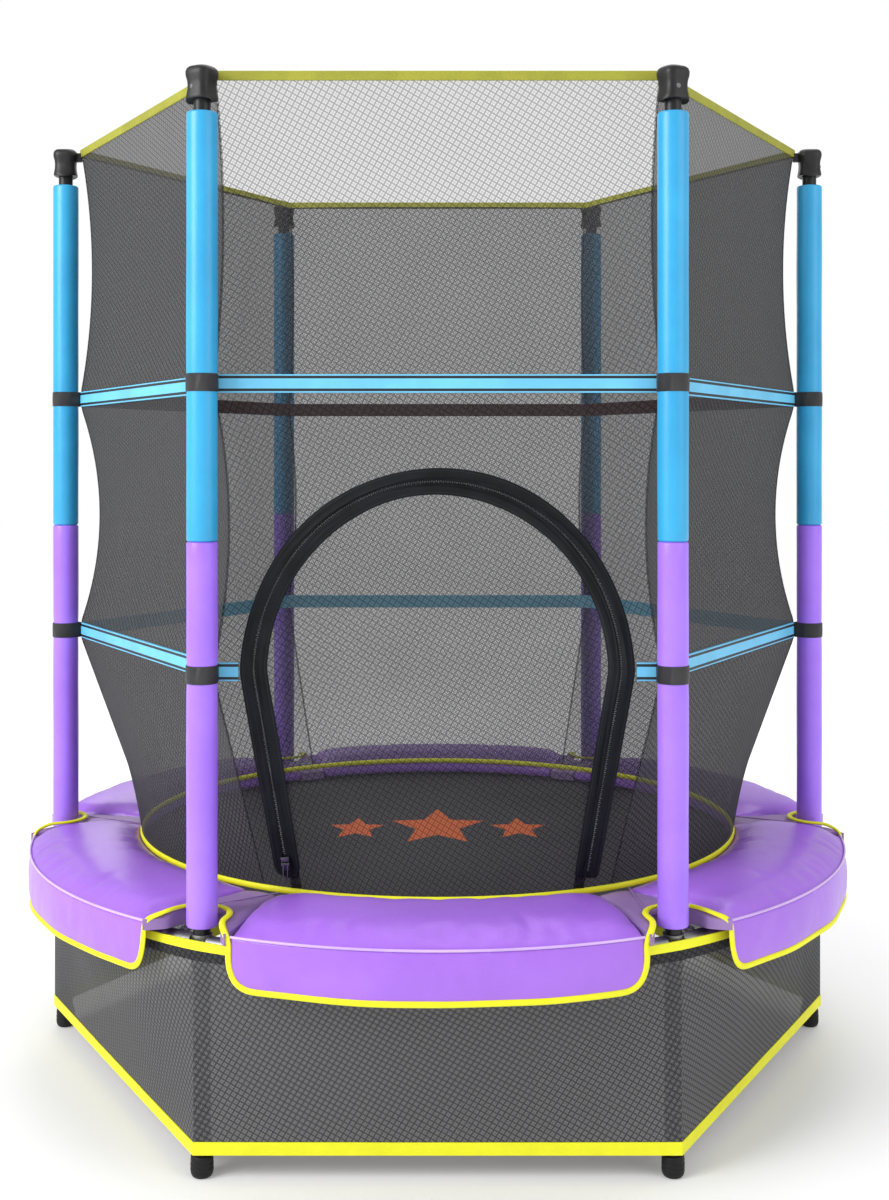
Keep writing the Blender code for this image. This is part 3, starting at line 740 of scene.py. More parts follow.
netShape = Shape(
    cornerR=0.652, footR=0.531,
    top=1.598, high=1.144, low=0.7235, foot=0.383,
    bowTop=0.020, bowMiddle=0.034,
    sag=0.007, wave=0.0016, sewn=0.0145,
    columns=60, rows=112,
    sideWidth=0.652, sideLength=1.255,
)
door = Shape(half=0.268, rise=0.2775, leg=0.08896)


def netHeight(up):
    return netShape.foot + (netShape.top - netShape.foot) * up


def netPlace(side, across, z):
    sewn = netShape.sewn          # flat where it is sewn to the webbing
    if z < netShape.low:
        share = min(1.0, (z - netShape.foot) / (netShape.low - sewn - netShape.foot))
        edge = onHexagon(netShape.cornerR, side, across, z)
        return onCircle(netShape.footR, (side + across) * sixth, z).lerp(edge, share)
    if z < netShape.high:
        share = (z - netShape.low - sewn) / (netShape.high - netShape.low - 2 * sewn)
        bow = netShape.bowMiddle
    else:
        share = (z - netShape.high - sewn) / (netShape.top - netShape.high - sewn)
        bow = netShape.bowTop
    share = min(1.0, max(0.0, share))
    radius = netShape.cornerR - bow * 4 * share * (1 - share)
    return onHexagon(radius, side, across, z)


# the cloth hangs a little slack between its belts and its corners
def slackPlace(side, across, z):
    place = netPlace(side, across, z)
    steps = (netShape.foot, netShape.low, netShape.high, netShape.top)
    share = 0.5
    for low, top in zip(steps, steps[1:]):
        if low <= z <= top:
            share = (z - low) / (top - low)
    loose = math.sin(math.pi * share) * math.sin(math.pi * across) ** 0.7
    soft = 0.25 if side == frontSide else 1.0
    wave = noise.noise(Vector((across * 5 + side * 11, z * 4.2, side * 3.7))) * netShape.wave
    fold = noise.noise(Vector((across * 13 + z * 6, z * 3 - across * 5, side * 5.1)))
    fold *= netShape.wave * 0.7
    inward = onCircle(1, (side + 0.5) * sixth, 0)
    return place - inward * (loose * netShape.sag * soft + (wave + fold) * loose * soft)


def netSide(side):
    def rule(across, up):
        return slackPlace(side, across, netHeight(up))
    name = "net_" + sideNames[side]
    piece = sheetPiece(name + "_mesh", netShape.columns, netShape.rows, netShape.sideWidth,
                       netShape.sideLength, rule, netFull, slot="net_mesh", instead=[name])


def archHalf(z):
    if z <= netShape.low:
        share = (z - netShape.foot) / (netShape.low - netShape.foot)
        foot = -netPlace(frontSide, door.leg, netShape.foot).x
        return foot + (door.half - foot) * share
    rise = (z - netShape.low) / door.rise
    return door.half * math.sqrt(max(0.0, 1 - rise * rise))


# the zip's line seen from the front, left foot to right foot, evenly spaced
def archLine(footZ, spacing):
    rough = []
    for step in range(40):
        z = footZ + (netShape.low - footZ) * step / 40
        rough.append(Vector((-archHalf(z), z)))
    for step in range(181):
        angle = math.pi * (1 - step / 180)
        z = netShape.low + door.rise * math.sin(angle)
        rough.append(Vector((door.half * math.cos(angle), z)))
    rough += [Vector((-place.x, place.y)) for place in reversed(rough[:40])]
    lengths = [0.0]
    for first, second in zip(rough, rough[1:]):
        lengths.append(lengths[-1] + (second - first).length)
    count = round(lengths[-1] / spacing)
    points, at = [], 0
    for step in range(count + 1):
        target = lengths[-1] * step / count
        while at < len(rough) - 2 and lengths[at + 1] < target:
            at += 1
        share = (target - lengths[at]) / (lengths[at + 1] - lengths[at])
        points.append(rough[at].lerp(rough[at + 1], share))
    return points


def crossAt(points, index):
    ahead = points[min(index + 1, len(points) - 1)] - points[max(index - 1, 0)]
    ahead.normalize()
    return Vector((-ahead.y, ahead.x))       # to the outside of the arch


# how far across the front side a point of given width lies, at a height
def acrossAt(x, z):
    low, high = 0.0, 1.0
    for _ in range(26):
        middle = (low + high) / 2
        if netPlace(frontSide, middle, z).x < x:
            low = middle
        else:
            high = middle
    return (low + high) / 2


def frontPlace(x, z):
    z = min(max(z, netShape.foot), netShape.top)
    return slackPlace(frontSide, acrossAt(x, z), z)


def frontNet():
    line = archLine(netShape.foot, 0.006)
    cell = netShape.sideWidth / (netShape.columns + 12)
    bm = bmesh.new()
    where = bm.verts.layers.int.new("where")
    shares = bm.verts.layers.float_vector.new("shares")
    layer = bm.loops.layers.uv.verify()
    bmesh.ops.create_grid(bm, x_segments=netShape.columns + 12, y_segments=netShape.rows + 18,
                          size=0.5)
    for vert in bm.verts:
        across = vert.co.x + 0.5
        z = netHeight(vert.co.y + 0.5)
        place = netPlace(frontSide, across, z)
        flat = Vector((place.x, place.z))
        vert[where] = 1
        if z < netShape.low + door.rise + 0.02 and abs(place.x) < door.half + 0.02:
            near = min(line, key=lambda point: (point - flat).length_squared)
            if (near - flat).length < cell * 0.52:
                flat = near
                vert[where] = 0
            elif z < netShape.low + door.rise and abs(place.x) < archHalf(z):
                vert[where] = -1
        across = acrossAt(flat.x, flat.y) if vert[where] == 0 else across
        vert[shares] = (across, (flat.y - netShape.foot) / (netShape.top - netShape.foot), 0)
        vert.co = slackPlace(frontSide, across, flat.y)
    split = [face for face in bm.faces if {-1, 1} <= {vert[where] for vert in face.verts}]
    for face in split:
        edge = [vert for vert in face.verts if vert[where] == 0]
        if len(edge) == 2:
            bmesh.ops.connect_verts(bm, verts=edge)
    for face in bm.faces:
        for loop in face.loops:
            share = loop.vert[shares]
            loop[layer].uv = (share.x * netShape.sideWidth, (share.y - 0.5) * netShape.sideLength)
    panel = bm.copy()
    for part, isDoor in ((bm, False), (panel, True)):
        mark = part.verts.layers.int["where"]
        away = [face for face in part.faces if (min(vert[mark] for vert in face.verts) < 0) != isDoor]
        bmesh.ops.delete(part, geom=away, context="FACES")
    return bm, panel


def buildFrontNet():
    bm, panel = frontNet()
    front = makePiece("net_front_mesh", bm, netThin, slot="net_mesh", instead=["net_front"])
    flap = makePiece("door_panel_mesh", panel, netThin, body=None, slot="net_mesh", instead=["door_panel"])
    bendDoor(flap)


# bakes the piece's place into its mesh; the door panel is left unbent
def bendDoor(piece):
    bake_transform(piece)


for side in range(6):
    if side != frontSide:
        netSide(side)
buildFrontNet()
print("net hung")


# a flat strip along a line of places, from cross-section points (out, up)
def stripPiece(name, places, outwards, section, material, closed, **more):
    rows = []
    for place, outward in zip(places, outwards):
        rows.append([place + outward * out + Vector((0, 0, up)) for out, up in section])
    return rowsPiece(name, rows, closed, material, **more)


def flatSection(wide, thick, out=0.0, low=0.0):
    edge = min(0.0006, thick / 2.2)
    far, top = out + thick, low + wide
    return [(out, low + edge), (out, top - edge), (out + edge, top), (far - edge, top),
            (far, top - edge), (far, low + edge), (far - edge, low), (out + edge, low)]


# a line round the six uprights at one height, straight between them
def hexagonLine(radius, z, steps, first=0.0, last=6.0):
    places, outwards = [], []
    count = round(steps * (last - first))
    for step in range(count + (0 if last - first == 6 else 1)):
        turn = first + (last - first) * step / count
        side = math.floor(turn + 1e-9)
        share = turn - side
        corner = math.exp(-(min(share, 1 - share) / 0.02) ** 2)
        outward = onCircle(1, (side + 0.5) * sixth, 0)
        if corner > 0.3:
            outward = onCircle(1 / math.cos(sixth / 2), (side + round(share)) * sixth, 0)
        places.append(onHexagon(radius, side, share, z))
        outwards.append(outward)
    return places, outwards


belt = Shape(width=0.027, thick=0.0016, inside=0.0036, standoff=0.0013, steps=24,
             doorGap=0.2905)
hem = Shape(width=0.0140, thick=0.0030, top=1.6005)


def beltMaterial(name, inner):
    material, tree, shader, place = startMaterial(name, 0.45)
    weave = useGroup(tree, plainWeave, {"Place": place["UV"], "Pitch": 0.0014, "Uneven": 0.15})
    up = splitPlace(tree, place["Object"])["Z"]
    lowEdge = belt.lowEdge
    stripes = addNode(tree, "ShaderNodeValToRGB", None,
                      {"Fac": calc(tree, "DIVIDE", calc(tree, "SUBTRACT", up, lowEdge), belt.width)})
    ramp = stripes.color_ramp
    ramp.interpolation = "CONSTANT"
    colours = belt.stripes
    ramp.elements[0].color = colours[0][1]
    ramp.elements[1].position = colours[1][0]
    ramp.elements[1].color = colours[1][1]
    for position, colour in colours[2:]:
        ramp.elements.new(position).color = colour
    face = stripes.outputs["Color"]
    # an inner colour replaces the stripes with a flat painted shade
    if inner:
        face = addNode(tree, "ShaderNodeRGB").outputs[0]
        face.default_value = inner
    grain = useGroup(tree, grainAndTone, {"Place": place["Object"], "Light": (1, 1, 1, 1),
                                          "Dark": (0.86, 0.86, 0.88, 1), "Patch": 12.0})
    tinted = mixColour(tree, 1.0, face, grain["Colour"], "MULTIPLY")
    tree.links.new(mixColour(tree, 0.6, tinted, mixColour(tree, 1.0, tinted, weave["Shade"], "MULTIPLY")),
                   shader.inputs["Base Color"])
    addBump(tree, shader, weave["Height"], 0.0003)
    return material


lightBlue = (0.16, 0.60, 0.90, 1)
nearBlack = (0.008, 0.012, 0.016, 1)
# dark maroon on the high belt's inner face is painted shade, not the webbing's own colour
paintedShadeMaroon = (0.035, 0.001, 0.001, 1)
belt.stripes = [(0.0, lightBlue), (0.08, nearBlack), (0.23, lightBlue),
                   (0.77, nearBlack), (0.92, lightBlue)]


# faces that look toward the middle take the second material, a darker painted shade of the webbing
def markShadedInner(piece):
    for polygon in piece.data.polygons:
        outward = polygon.center.xy.normalized()
        if polygon.normal.xy.dot(outward) < -0.5:
            polygon.material_index = 1


def buildBelts():
    base = netShape.cornerR + belt.standoff / math.cos(sixth / 2)
    for label, height, inner in (("high", netShape.high, paintedShadeMaroon), ("low", netShape.low, None)):
        belt.lowEdge = height - belt.width / 2
        outerFace = beltMaterial("webbing_" + label, None)
        # the inner faces are painted darker than the webbing as painted shade: dark maroon on the high belt,
        # a darker blue on the low one
        shadedInnerFace = beltMaterial("webbing_shaded_inner_" + label, inner or (0.17, 0.46, 0.62, 1))
        thick = belt.thick + belt.inside      # the webbing takes the net between its two layers
        section = flatSection(belt.width, thick, -belt.inside, -belt.width / 2)
        gap = (base / 2 - belt.doorGap) / base       # the low one stops at either side of the door
        ends = () if label == "high" else (5 - gap, 10 + gap)
        places, outwards = hexagonLine(base, height, belt.steps, *ends)
        node = "belt_upper" if label == "high" else "belt_lower"
        markShadedInner(stripPiece("belt_webbing_" + label, places, outwards, section, (outerFace, shadedInnerFace),
                             label == "high", slot="belt_webbing", instead=[node]))
    places, outwards = hexagonLine(netShape.cornerR, hem.top - hem.width, 20)
    section = flatSection(hem.width, hem.thick, -hem.thick / 2)
    stripPiece("net_hem_tape", places, outwards, section, oliveTape, True, slot="net_mesh")


seamSection = ((-0.0018, 0.0008), (0, -0.0005), (0.0018, 0.0008), (0.0018, 0.0016), (0, 0.0005),
               (-0.0018, 0.0016))


# an upright seam tape joins neighbouring sides behind each pole
def buildSeams():
    for index, name in enumerate(stations):
        tangent = onCircle(1, index * sixth + math.pi / 2, 0)
        inward = onCircle(-1, index * sixth, 0)
        rows = []
        for step in range(81):
            z = netShape.foot + 0.004 + (netShape.top - 0.020 - netShape.foot) * step / 80
            place = netPlace(index, 0.0, z)
            rows.append([place + tangent * side + inward * depth for side, depth in seamSection])
        rowsPiece("net_seam_tape_" + name, rows, False, netThin, slot="net_mesh")


buildBelts()
buildSeams()
print("belts, hem and seams sewn")


band = Shape(half=0.0200, footZ=0.4030, spacing=0.0052, columns=32, standoff=0.0026,
             thick=0.0016, puff=0.0024, groove=0.0032, grooveHalf=0.0022, endRound=0.020,
             endSquare=0.003)
bandFolds = ((0.0072, 0.0020, 0.0015, 1.7), (-0.0068, -0.0021, 0.0014, 5.3),
             (-0.0120, 0.0012, 0.0020, 9.1), (0.0125, -0.0012, 0.0018, 12.9))


# height of the cloth over the net, along the zip's line and across it
def bandHeight(along, across, half):
    wander = noise.noise(Vector((along * 7, 3.1, 0))) * 0.0034
    flap = 1 - min(1.0, abs(across) / half) ** 3
    height = band.puff * flap
    height -= band.groove * math.exp(-((across - wander * 0.3) / band.grooveHalf) ** 2)
    for offset, depth, width, seed in bandFolds:
        drift = noise.noise(Vector((along * 6 + seed, seed, 0))) * 0.0042
        strength = 0.5 + noise.noise(Vector((along * 9, seed * 2, 1))) * 0.9
        height += depth * strength * math.exp(-((across - offset - drift) / width) ** 2)
    ruck = noise.noise(Vector((along * 34, across * 90, 2.3))) * 0.0014
    return height + ruck * flap


def bandHalf(fromStart, fromEnd):
    half = band.half
    if fromStart < band.endRound:
        reach = band.endRound - fromStart
        half = math.sqrt(max(0.0, band.endRound ** 2 - reach ** 2)) * half / band.endRound
    if fromEnd < band.endSquare:
        reach = band.endSquare - fromEnd
        half -= band.endSquare - math.sqrt(max(0.0, band.endSquare ** 2 - reach ** 2))
    return max(half, 0.0012)


def buildBand():
    line = archLine(band.footZ, band.spacing)
    total = band.spacing * (len(line) - 1)

    def rule(across, up):
        index = round(up * (len(line) - 1))
        along = total * index / (len(line) - 1)
        half = bandHalf(along, total - along) * (1 + 0.09 * noise.noise(Vector((along * 5, 7.7, 0))))
        offset = (across * 2 - 1) * half
        place = line[index] + crossAt(line, index) * offset
        surface = frontPlace(place.x, place.y)
        lift = band.standoff + band.thick + max(0.0, bandHeight(along, offset, half))
        return Vector((surface.x, surface.y - lift, place.y))
    bm = bmesh.new()
    ruledSheet(bm, band.columns, len(line) - 1, 2 * band.half, total, rule)
    layer = bm.loops.layers.uv.verify()
    for face in bm.faces:
        for loop in face.loops:
            across, up = loop[layer].uv
            loop[layer].uv = (up, across - band.half)
    turnOutward(bm, Vector((0, -1, 0)))
    piece = makePiece("door_band_cloth", bm, bandCloth, slot="door_band_cloth", instead=["door_band"])
    addModifier(piece, "SOLIDIFY", thickness=band.thick, offset=-1)


tooth = Shape(pitch=0.0034, size=(0.0030, 0.0014, 0.0014), lift=0.0040)


# zip teeth lie in the fold of the band, each turned to the zip's line
def buildTeeth():
    line = archLine(band.footZ + 0.012, tooth.pitch)
    bm = bmesh.new()
    for index, point in enumerate(line):
        surface = frontPlace(point.x, point.y)
        cross = crossAt(line, index)
        turn = math.atan2(cross.y, cross.x)
        side = 0.0006 if index % 2 else -0.0006
        shift = Vector((cross.x * side, -tooth.lift, cross.y * side))
        place = Matrix.Translation(surface + shift)
        size = Matrix.Diagonal((*tooth.size, 1.0))
        bmesh.ops.create_cube(bm, size=1, matrix=place @ Matrix.Rotation(-turn, 4, "Y") @ size)
    makePiece("zip_teeth", bm, zipMetal, slot="zip_metal", sharp=20)


doorTape = Shape(spacing=0.010, wide=0.016, beside=0.0012, inward=0.0011, thick=0.0009)


# the door panel's own edge tape, on the inner face of the net
def buildDoorTape():
    line = archLine(netShape.foot + 0.002, doorTape.spacing)
    total = doorTape.spacing * (len(line) - 1)

    def rule(across, up):
        index = round(up * (len(line) - 1))
        place = line[index] - crossAt(line, index) * (doorTape.beside + across * doorTape.wide)
        surface = frontPlace(place.x, place.y)
        return surface + Vector((0, doorTape.inward, 0))
    bm = bmesh.new()
    ruledSheet(bm, 4, len(line) - 1, doorTape.wide, total, rule)
    turnOutward(bm, Vector((0, 1, 0)))
    tape = makePiece("door_edge_tape", bm, bandCloth, body=None, slot="door_band_cloth")
    addModifier(tape, "SOLIDIFY", thickness=doorTape.thick, offset=-1)
    bendDoor(tape)


def jointVector(name, key):
    return Vector([joint for joint in frame["joints"] if joint["name"] == name][0][key])


slider = Shape(size=(0.0128, 0.0048, 0.0215), waist=0.74, ear=(0.0015, 0.0072, 0.0060),
               earX=0.00515)
pull = Shape(wide=0.0078, thick=0.0016, long=0.028, barrel=0.0018, rim=0.0020)


def buildSlider():
    pivot = jointVector("pull_swing", "pos_m")
    tilt = jointVector("zip_slide", "axis")
    centre = Vector((pivot.x, pivot.y + slider.size[1] / 2 + 0.0026, pivot.z))
    body = roundedBlock(slider.size, 0.0011)
    for vert in body.verts:
        vert.co.x *= 1 - (1 - slider.waist) * max(0.0, -vert.co.z / slider.size[2] * 2) ** 1.5
    lean = Matrix.Rotation(math.atan2(tilt.x, tilt.z), 4, "Y")
    turn = lean @ Matrix.Rotation(-math.atan2(tilt.y, tilt.z), 4, "X")
    bmesh.ops.transform(body, matrix=Matrix.Translation(centre) @ turn, verts=body.verts)
    for side in (-1, 1):
        ear = roundedBlock(slider.ear, 0.0006, 2)
        moveBy(ear, pivot + Vector((side * slider.earX, 0.0014, 0)))
        joinInto(body, ear)
    makePiece("zip_slider_body", body, zipMetal, body="slider", slot="zip_metal", instead=["zip_slider"])
    buildPull(pivot)


def buildPull(pivot):
    bm = bmesh.new()
    bmesh.ops.create_cone(bm, cap_ends=True, segments=20, radius1=pull.barrel, radius2=pull.barrel,
                          depth=pull.wide, matrix=Matrix.Rotation(math.pi / 2, 4, "Y"))
    tab = bmesh.new()
    bmesh.ops.create_cube(tab, size=1)
    scaleBy(tab, (pull.wide, pull.thick, pull.long - 0.0010))
    faces = [face for face in tab.faces if abs(face.normal.y) > 0.9]
    for face in faces:
        bmesh.ops.inset_region(tab, faces=[face], thickness=pull.rim)
    rims = [list(face.edges) for face in faces]
    bmesh.ops.delete(tab, geom=faces, context="FACES_ONLY")
    bmesh.ops.bridge_loops(tab, edges=rims[0] + rims[1])
    sharpEdges = [edge for edge in tab.edges if edge.is_manifold and edge.calc_face_angle() > 0.5]
    roundEdges(tab, sharpEdges, 0.0004, 2)
    moveBy(tab, (0, 0, -pull.long / 2))
    joinInto(bm, tab)
    facesOut(bm)
    moveBy(bm, pivot)
    makePiece("zip_pull_tab", bm, zipMetal, body="pull", slot="zip_metal", instead=["zip_pull"])


buildBand()
buildTeeth()
buildDoorTape()
buildSlider()
print("door band and zip built")


matShape = Shape(radius=0.590, top=0.3490, thick=0.0040, border=0.558, angleSteps=12,
                 radiusSteps=30, still=0.66, whole=0.12)
spring = Shape(count=3, coilR=0.0055, wire=0.0011, turns=14, start=0.6130, end=0.6590,
               tip=0.6685, ringR=0.5855, ringHalf=0.013, matZ=0.3475, drop=0.0125)
sectorTurn = math.radians(30)


def starGroup():
    inputs = [("Place", vectorKind, None), ("X", numberKind, 0.0), ("Y", numberKind, 0.0),
              ("Size", numberKind, 0.1)]
    group, given, result = startGroup("printedStar", inputs, [("Mask", numberKind)])
    parts = splitPlace(group, given["Place"])
    x = calc(group, "DIVIDE", calc(group, "SUBTRACT", parts["X"], given["X"]), given["Size"])
    tall = calc(group, "MULTIPLY", given["Size"], 1.55)
    y = calc(group, "DIVIDE", calc(group, "SUBTRACT", parts["Y"], given["Y"]), tall)
    square = calc(group, "ADD", calc(group, "MULTIPLY", x, x), calc(group, "MULTIPLY", y, y))
    radius = calc(group, "SQRT", square)
    angle = calc(group, "ARCTAN2", x, y)
    folded = calc(group, "PINGPONG", calc(group, "ADD", angle, 2 * math.pi), math.pi / 5)
    # a straight edge from each outer tip to the inner corner
    inner, tip = 0.46, 1.0
    corner = Vector((inner * math.cos(math.pi / 5), inner * math.sin(math.pi / 5)))
    edge = (corner - Vector((tip, 0))).normalized()
    normal = Vector((edge.y, -edge.x))
    if normal.x < 0:
        normal = -normal
    across = calc(group, "MULTIPLY", calc(group, "COSINE", folded), normal.x)
    across = calc(group, "ADD", across, calc(group, "MULTIPLY", calc(group, "SINE", folded), normal.y))
    reach = calc(group, "SUBTRACT", calc(group, "MULTIPLY", across, radius), normal.x * tip)
    group.links.new(mapRange(group, reach, 0.012, -0.012), result["Mask"])
    return group


def matMaterial():
    material, tree, shader, place = startMaterial("matCloth", 0.62)
    turned = addNode(tree, "ShaderNodeMapping", None, {"Vector": place["Object"], "Rotation": (0, 0, 0.52)})
    weave = useGroup(tree, plainWeave, {"Place": turned.outputs[0], "Pitch": 0.0042, "Uneven": 0.35})
    grain = useGroup(tree, grainAndTone, {"Place": place["Object"], "Light": (0.036, 0.036, 0.037, 1),
                                          "Dark": (0.024, 0.024, 0.025, 1), "Patch": 4.0, "Scale": 260.0})
    cloth = mixColour(tree, 1.0, grain["Colour"], weave["Shade"], "MULTIPLY")
    star = starGroup()
    ink = None
    for x, y, size in ((0.0, 0.060, 0.092), (-0.150, 0.045, 0.054), (0.150, 0.045, 0.054)):
        mask = useGroup(tree, star, {"Place": place["Object"], "X": x, "Y": y, "Size": size})["Mask"]
        ink = mask if ink is None else calc(tree, "MAXIMUM", ink, mask)
    rubbed = calc(tree, "MULTIPLY", ink, calc(tree, "MULTIPLY_ADD", weave["Height"], 0.12, 0.88))
    tree.links.new(mixColour(tree, rubbed, cloth, (0.86, 0.155, 0.012, 1)), shader.inputs["Base Color"])
    addBump(tree, shader, weave["Height"], 0.0005)
    return material


matCloth = matMaterial()
matBorder = wovenMaterial("matBorder", (0.018, 0.018, 0.019), (0.012, 0.012, 0.013), 0.55, 0.0016, 0.0003)


def blendSector(piece):
    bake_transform(piece)


def matSector(index):
    bm = bmesh.new()

    def rule(across, up):
        return onCircle(matShape.radius * up, (index + across) * sectorTurn, matShape.top)
    ruledSheet(bm, matShape.angleSteps, matShape.radiusSteps, 0.3, matShape.radius, rule)
    bmesh.ops.remove_doubles(bm, verts=bm.verts, dist=1e-5)
    turnOutward(bm, Vector((0, 0, 1)))
    for face in bm.faces:
        face.material_index = 1 if face.calc_center_median().xy.length > matShape.border else 0
    bmesh.ops.solidify(bm, geom=bm.faces[:], thickness=matShape.thick)
    drop = matShape.top - max(vert.co.z for vert in bm.verts)
    moveBy(bm, (0, 0, drop))
    piece = makePiece(f"mat_sector_{index + 1:02d}", bm, (matCloth, matBorder), body=None, slot="mat_fabric",
                      instead=["jump_mat"] if index == 0 else ())
    blendSector(piece)


def oneSpring():
    bm = bmesh.new()
    steps = spring.turns * 9
    long = spring.end - spring.start
    loop = bmesh.ops.create_circle(bm, segments=5, radius=spring.wire,
                                   matrix=Matrix.Translation((spring.start, spring.coilR, 0)))["verts"]
    lines = list({edge for vert in loop for edge in vert.link_edges})
    bmesh.ops.spin(bm, geom=loop + lines, cent=(spring.start, 0, 0), axis=(1, 0, 0),
                   dvec=(long / steps, 0, 0), angle=2 * math.pi * spring.turns, steps=steps)
    bmesh.ops.holes_fill(bm, edges=bm.edges, sides=0)
    wire = ovalSection(spring.wire * 2, spring.wire * 2, 6)
    high = spring.coilR
    hookOut = [Vector((spring.end, high, 0)), Vector((spring.end + 0.003, high * 0.7, 0.0005)),
               Vector((spring.end + 0.006, high * 0.1, 0)), Vector((spring.tip, 0, 0))]
    hookIn = [Vector((spring.start, high, 0)), Vector((spring.start - 0.003, high * 0.7, 0.0005)),
              Vector((spring.start - 0.006, 0, 0)), Vector((spring.start - 0.0095, 0, 0.0005)),
              Vector((spring.start - 0.0105, 0, -0.003))]
    for hook in (hookOut, hookIn):
        sweepInto(bm, hook, wire, False, Vector((0, 0, 1)))
    base, wide = spring.ringR, spring.ringHalf
    triangle = [Vector((0.6050, 0, 0)), Vector((0.6020, 0.0025, 0)), Vector((base, wide, 0)),
                Vector((base - 0.0025, wide - 0.002, 0)), Vector((base - 0.0025, 2 * 0.001 - wide, 0)),
                Vector((base, -wide, 0)), Vector((0.6020, -0.0025, 0))]
    sweepInto(bm, triangle, ovalSection(0.0026, 0.0026, 6), True, Vector((0, 0, 1)))
    facesOut(bm)
    # the spring slopes down a little from the mat's edge to the ring tube
    for vert in bm.verts:
        share = (vert.co.x - base) / (spring.tip - base)
        vert.co.z += spring.matZ - spring.drop * max(0.0, share)
    return bm


def springSet(index):
    bm = bmesh.new()
    for place in range(spring.count):
        part = oneSpring()
        turn = (index + (place + 0.5) / spring.count) * sectorTurn
        turnBy(part, turn)
        joinInto(bm, part)
    piece = makePiece(f"springs_{index + 1:02d}", bm, springSteel, body=None, slot="galvanised_steel",
                      sharp=50)
    blendSector(piece)


for index in range(12):
    matSector(index)
    springSet(index)
print("mat and springs built")


pad = Shape(
    inR=0.5290, outR=0.7215, low=0.3535, innerZ=0.3740, outerZ=0.3640, crown=0.0195,
    gap=0.026, flare=0.2545, columns=64, rows=18, voxel=0.0052, puff=0.007,
    notchR=0.048, notchMiddle=0.694, notchOut=0.7235, notchSpread=0.0275,
)
flap = Shape(low=0.2925, top=0.3645, radius=0.7190, thick=0.0040, puff=0.0045, corner=0.036,
             columns=96, rows=14, end=0.0765, depth=0.070)
flapHalf = sixth / 2 - math.asin(flap.end / flap.radius)
gussetShape = Shape(low=0.3690, swell=0.0065, ripple=0.0016, inset=0.0008)

padVinyl = grainMaterial("padVinyl", (0.39, 0.155, 0.78), (0.35, 0.135, 0.72), 0.34, 0.0004, 260, 5, 0.15,
                         Coat_Weight=0.2, Coat_Roughness=0.25)
# the gussets are a darker, greyer copy of the pad vinyl: painted shade behind the poles
gussetShadeVinyl = grainMaterial("gussetShadeVinyl", (0.33, 0.20, 0.47), (0.27, 0.16, 0.40), 0.48, 0.0005, 260, 6, 0.2)
# the crease welt is a lighter copy of the pad vinyl: a painted highlight along the crease
weltHighlightVinyl = grainMaterial("weltHighlightVinyl", (0.68, 0.47, 0.84), (0.60, 0.40, 0.80), 0.28, 0.0003, 260, 9, 0.1)


def sectionGap(radius):
    return pad.gap + pad.flare * (radius - pad.inR)


def sectionTop(radius, fromEnd):
    share = (radius - pad.inR) / (pad.outR - pad.inR)
    base = pad.innerZ + (pad.outerZ - pad.innerZ) * share
    swell = pad.crown * (1 - abs(2 * share - 1) ** 3.0)
    return base + swell * (0.30 + 0.70 * (1 - math.exp(-fromEnd / 0.030)))


# upright sides and a flat bottom under an open top
def closeBelow(bm):
    turnOutward(bm, Vector((0, 0, 1)))
    grown = bmesh.ops.extrude_face_region(bm, geom=bm.faces[:], use_keep_orig=True)
    for item in grown["geom"]:
        if isinstance(item, bmesh.types.BMVert):
            item.co.z = pad.low


# one section of the ring round +X, with a crowned top
def sectionCage():
    def rule(across, up):
        radius = pad.inR + (pad.outR - pad.inR) * up
        half = sixth / 2 - math.asin(sectionGap(radius) / radius)
        turn = (across * 2 - 1) * half
        fromEnd = (half - abs(turn)) * radius
        return onCircle(radius, turn, sectionTop(radius, fromEnd))
    bm = bmesh.new()
    ruledSheet(bm, pad.columns, pad.rows, 0.7, 0.2, rule)
    closeBelow(bm)
    facesOut(bm)
    return bm


def applyAll(piece):
    bpy.context.view_layer.update()
    shown = piece.evaluated_get(bpy.context.evaluated_depsgraph_get())
    mesh = bpy.data.meshes.new_from_object(shown)
    piece.modifiers.clear()
    piece.data = mesh


padCloth = {"quality": 5, "mass": 0.25, "tension_stiffness": 12, "compression_stiffness": 4,
            "bending_stiffness": 0.15, "use_pressure": True, "uniform_pressure_force": 4,
            "shrink_min": -0.045, "shrink_max": -0.045, "vertex_group_mass": "held"}


# the cover swells over its foam while its seams are held
def swellSection(piece):
    addModifier(piece, "REMESH", mode="VOXEL", voxel_size=pad.voxel)
    applyAll(piece)
    rest = [vert.co.copy() for vert in piece.data.vertices]
    held = piece.vertex_groups.new(name="held")
    for vert in piece.data.vertices:
        radius = vert.co.xy.length
        nearSeam = radius > pad.outR - 0.006 or radius < pad.inR + 0.005
        half = sixth / 2 - math.asin(sectionGap(radius) / radius)
        nearEnd = (half - abs(math.atan2(vert.co.y, vert.co.x))) * radius < 0.004
        if vert.co.z < pad.low + 0.006 or nearSeam or nearEnd:
            held.add([vert.index], 1.0, "REPLACE")
    cloth = addModifier(piece, "CLOTH")
    for name, value in padCloth.items():
        setattr(cloth.settings, name, value)
    cloth.settings.effector_weights.gravity = 0
    cloth.point_cache.frame_start = 1
    cloth.point_cache.frame_end = 20
    for step in range(1, 21):
        scene.frame_set(step)
    applyAll(piece)
    scene.frame_set(1)
    for vert, start in zip(piece.data.vertices, rest):
        move = vert.co - start
        if move.length > pad.puff:
            vert.co = start + move * (pad.puff / move.length)


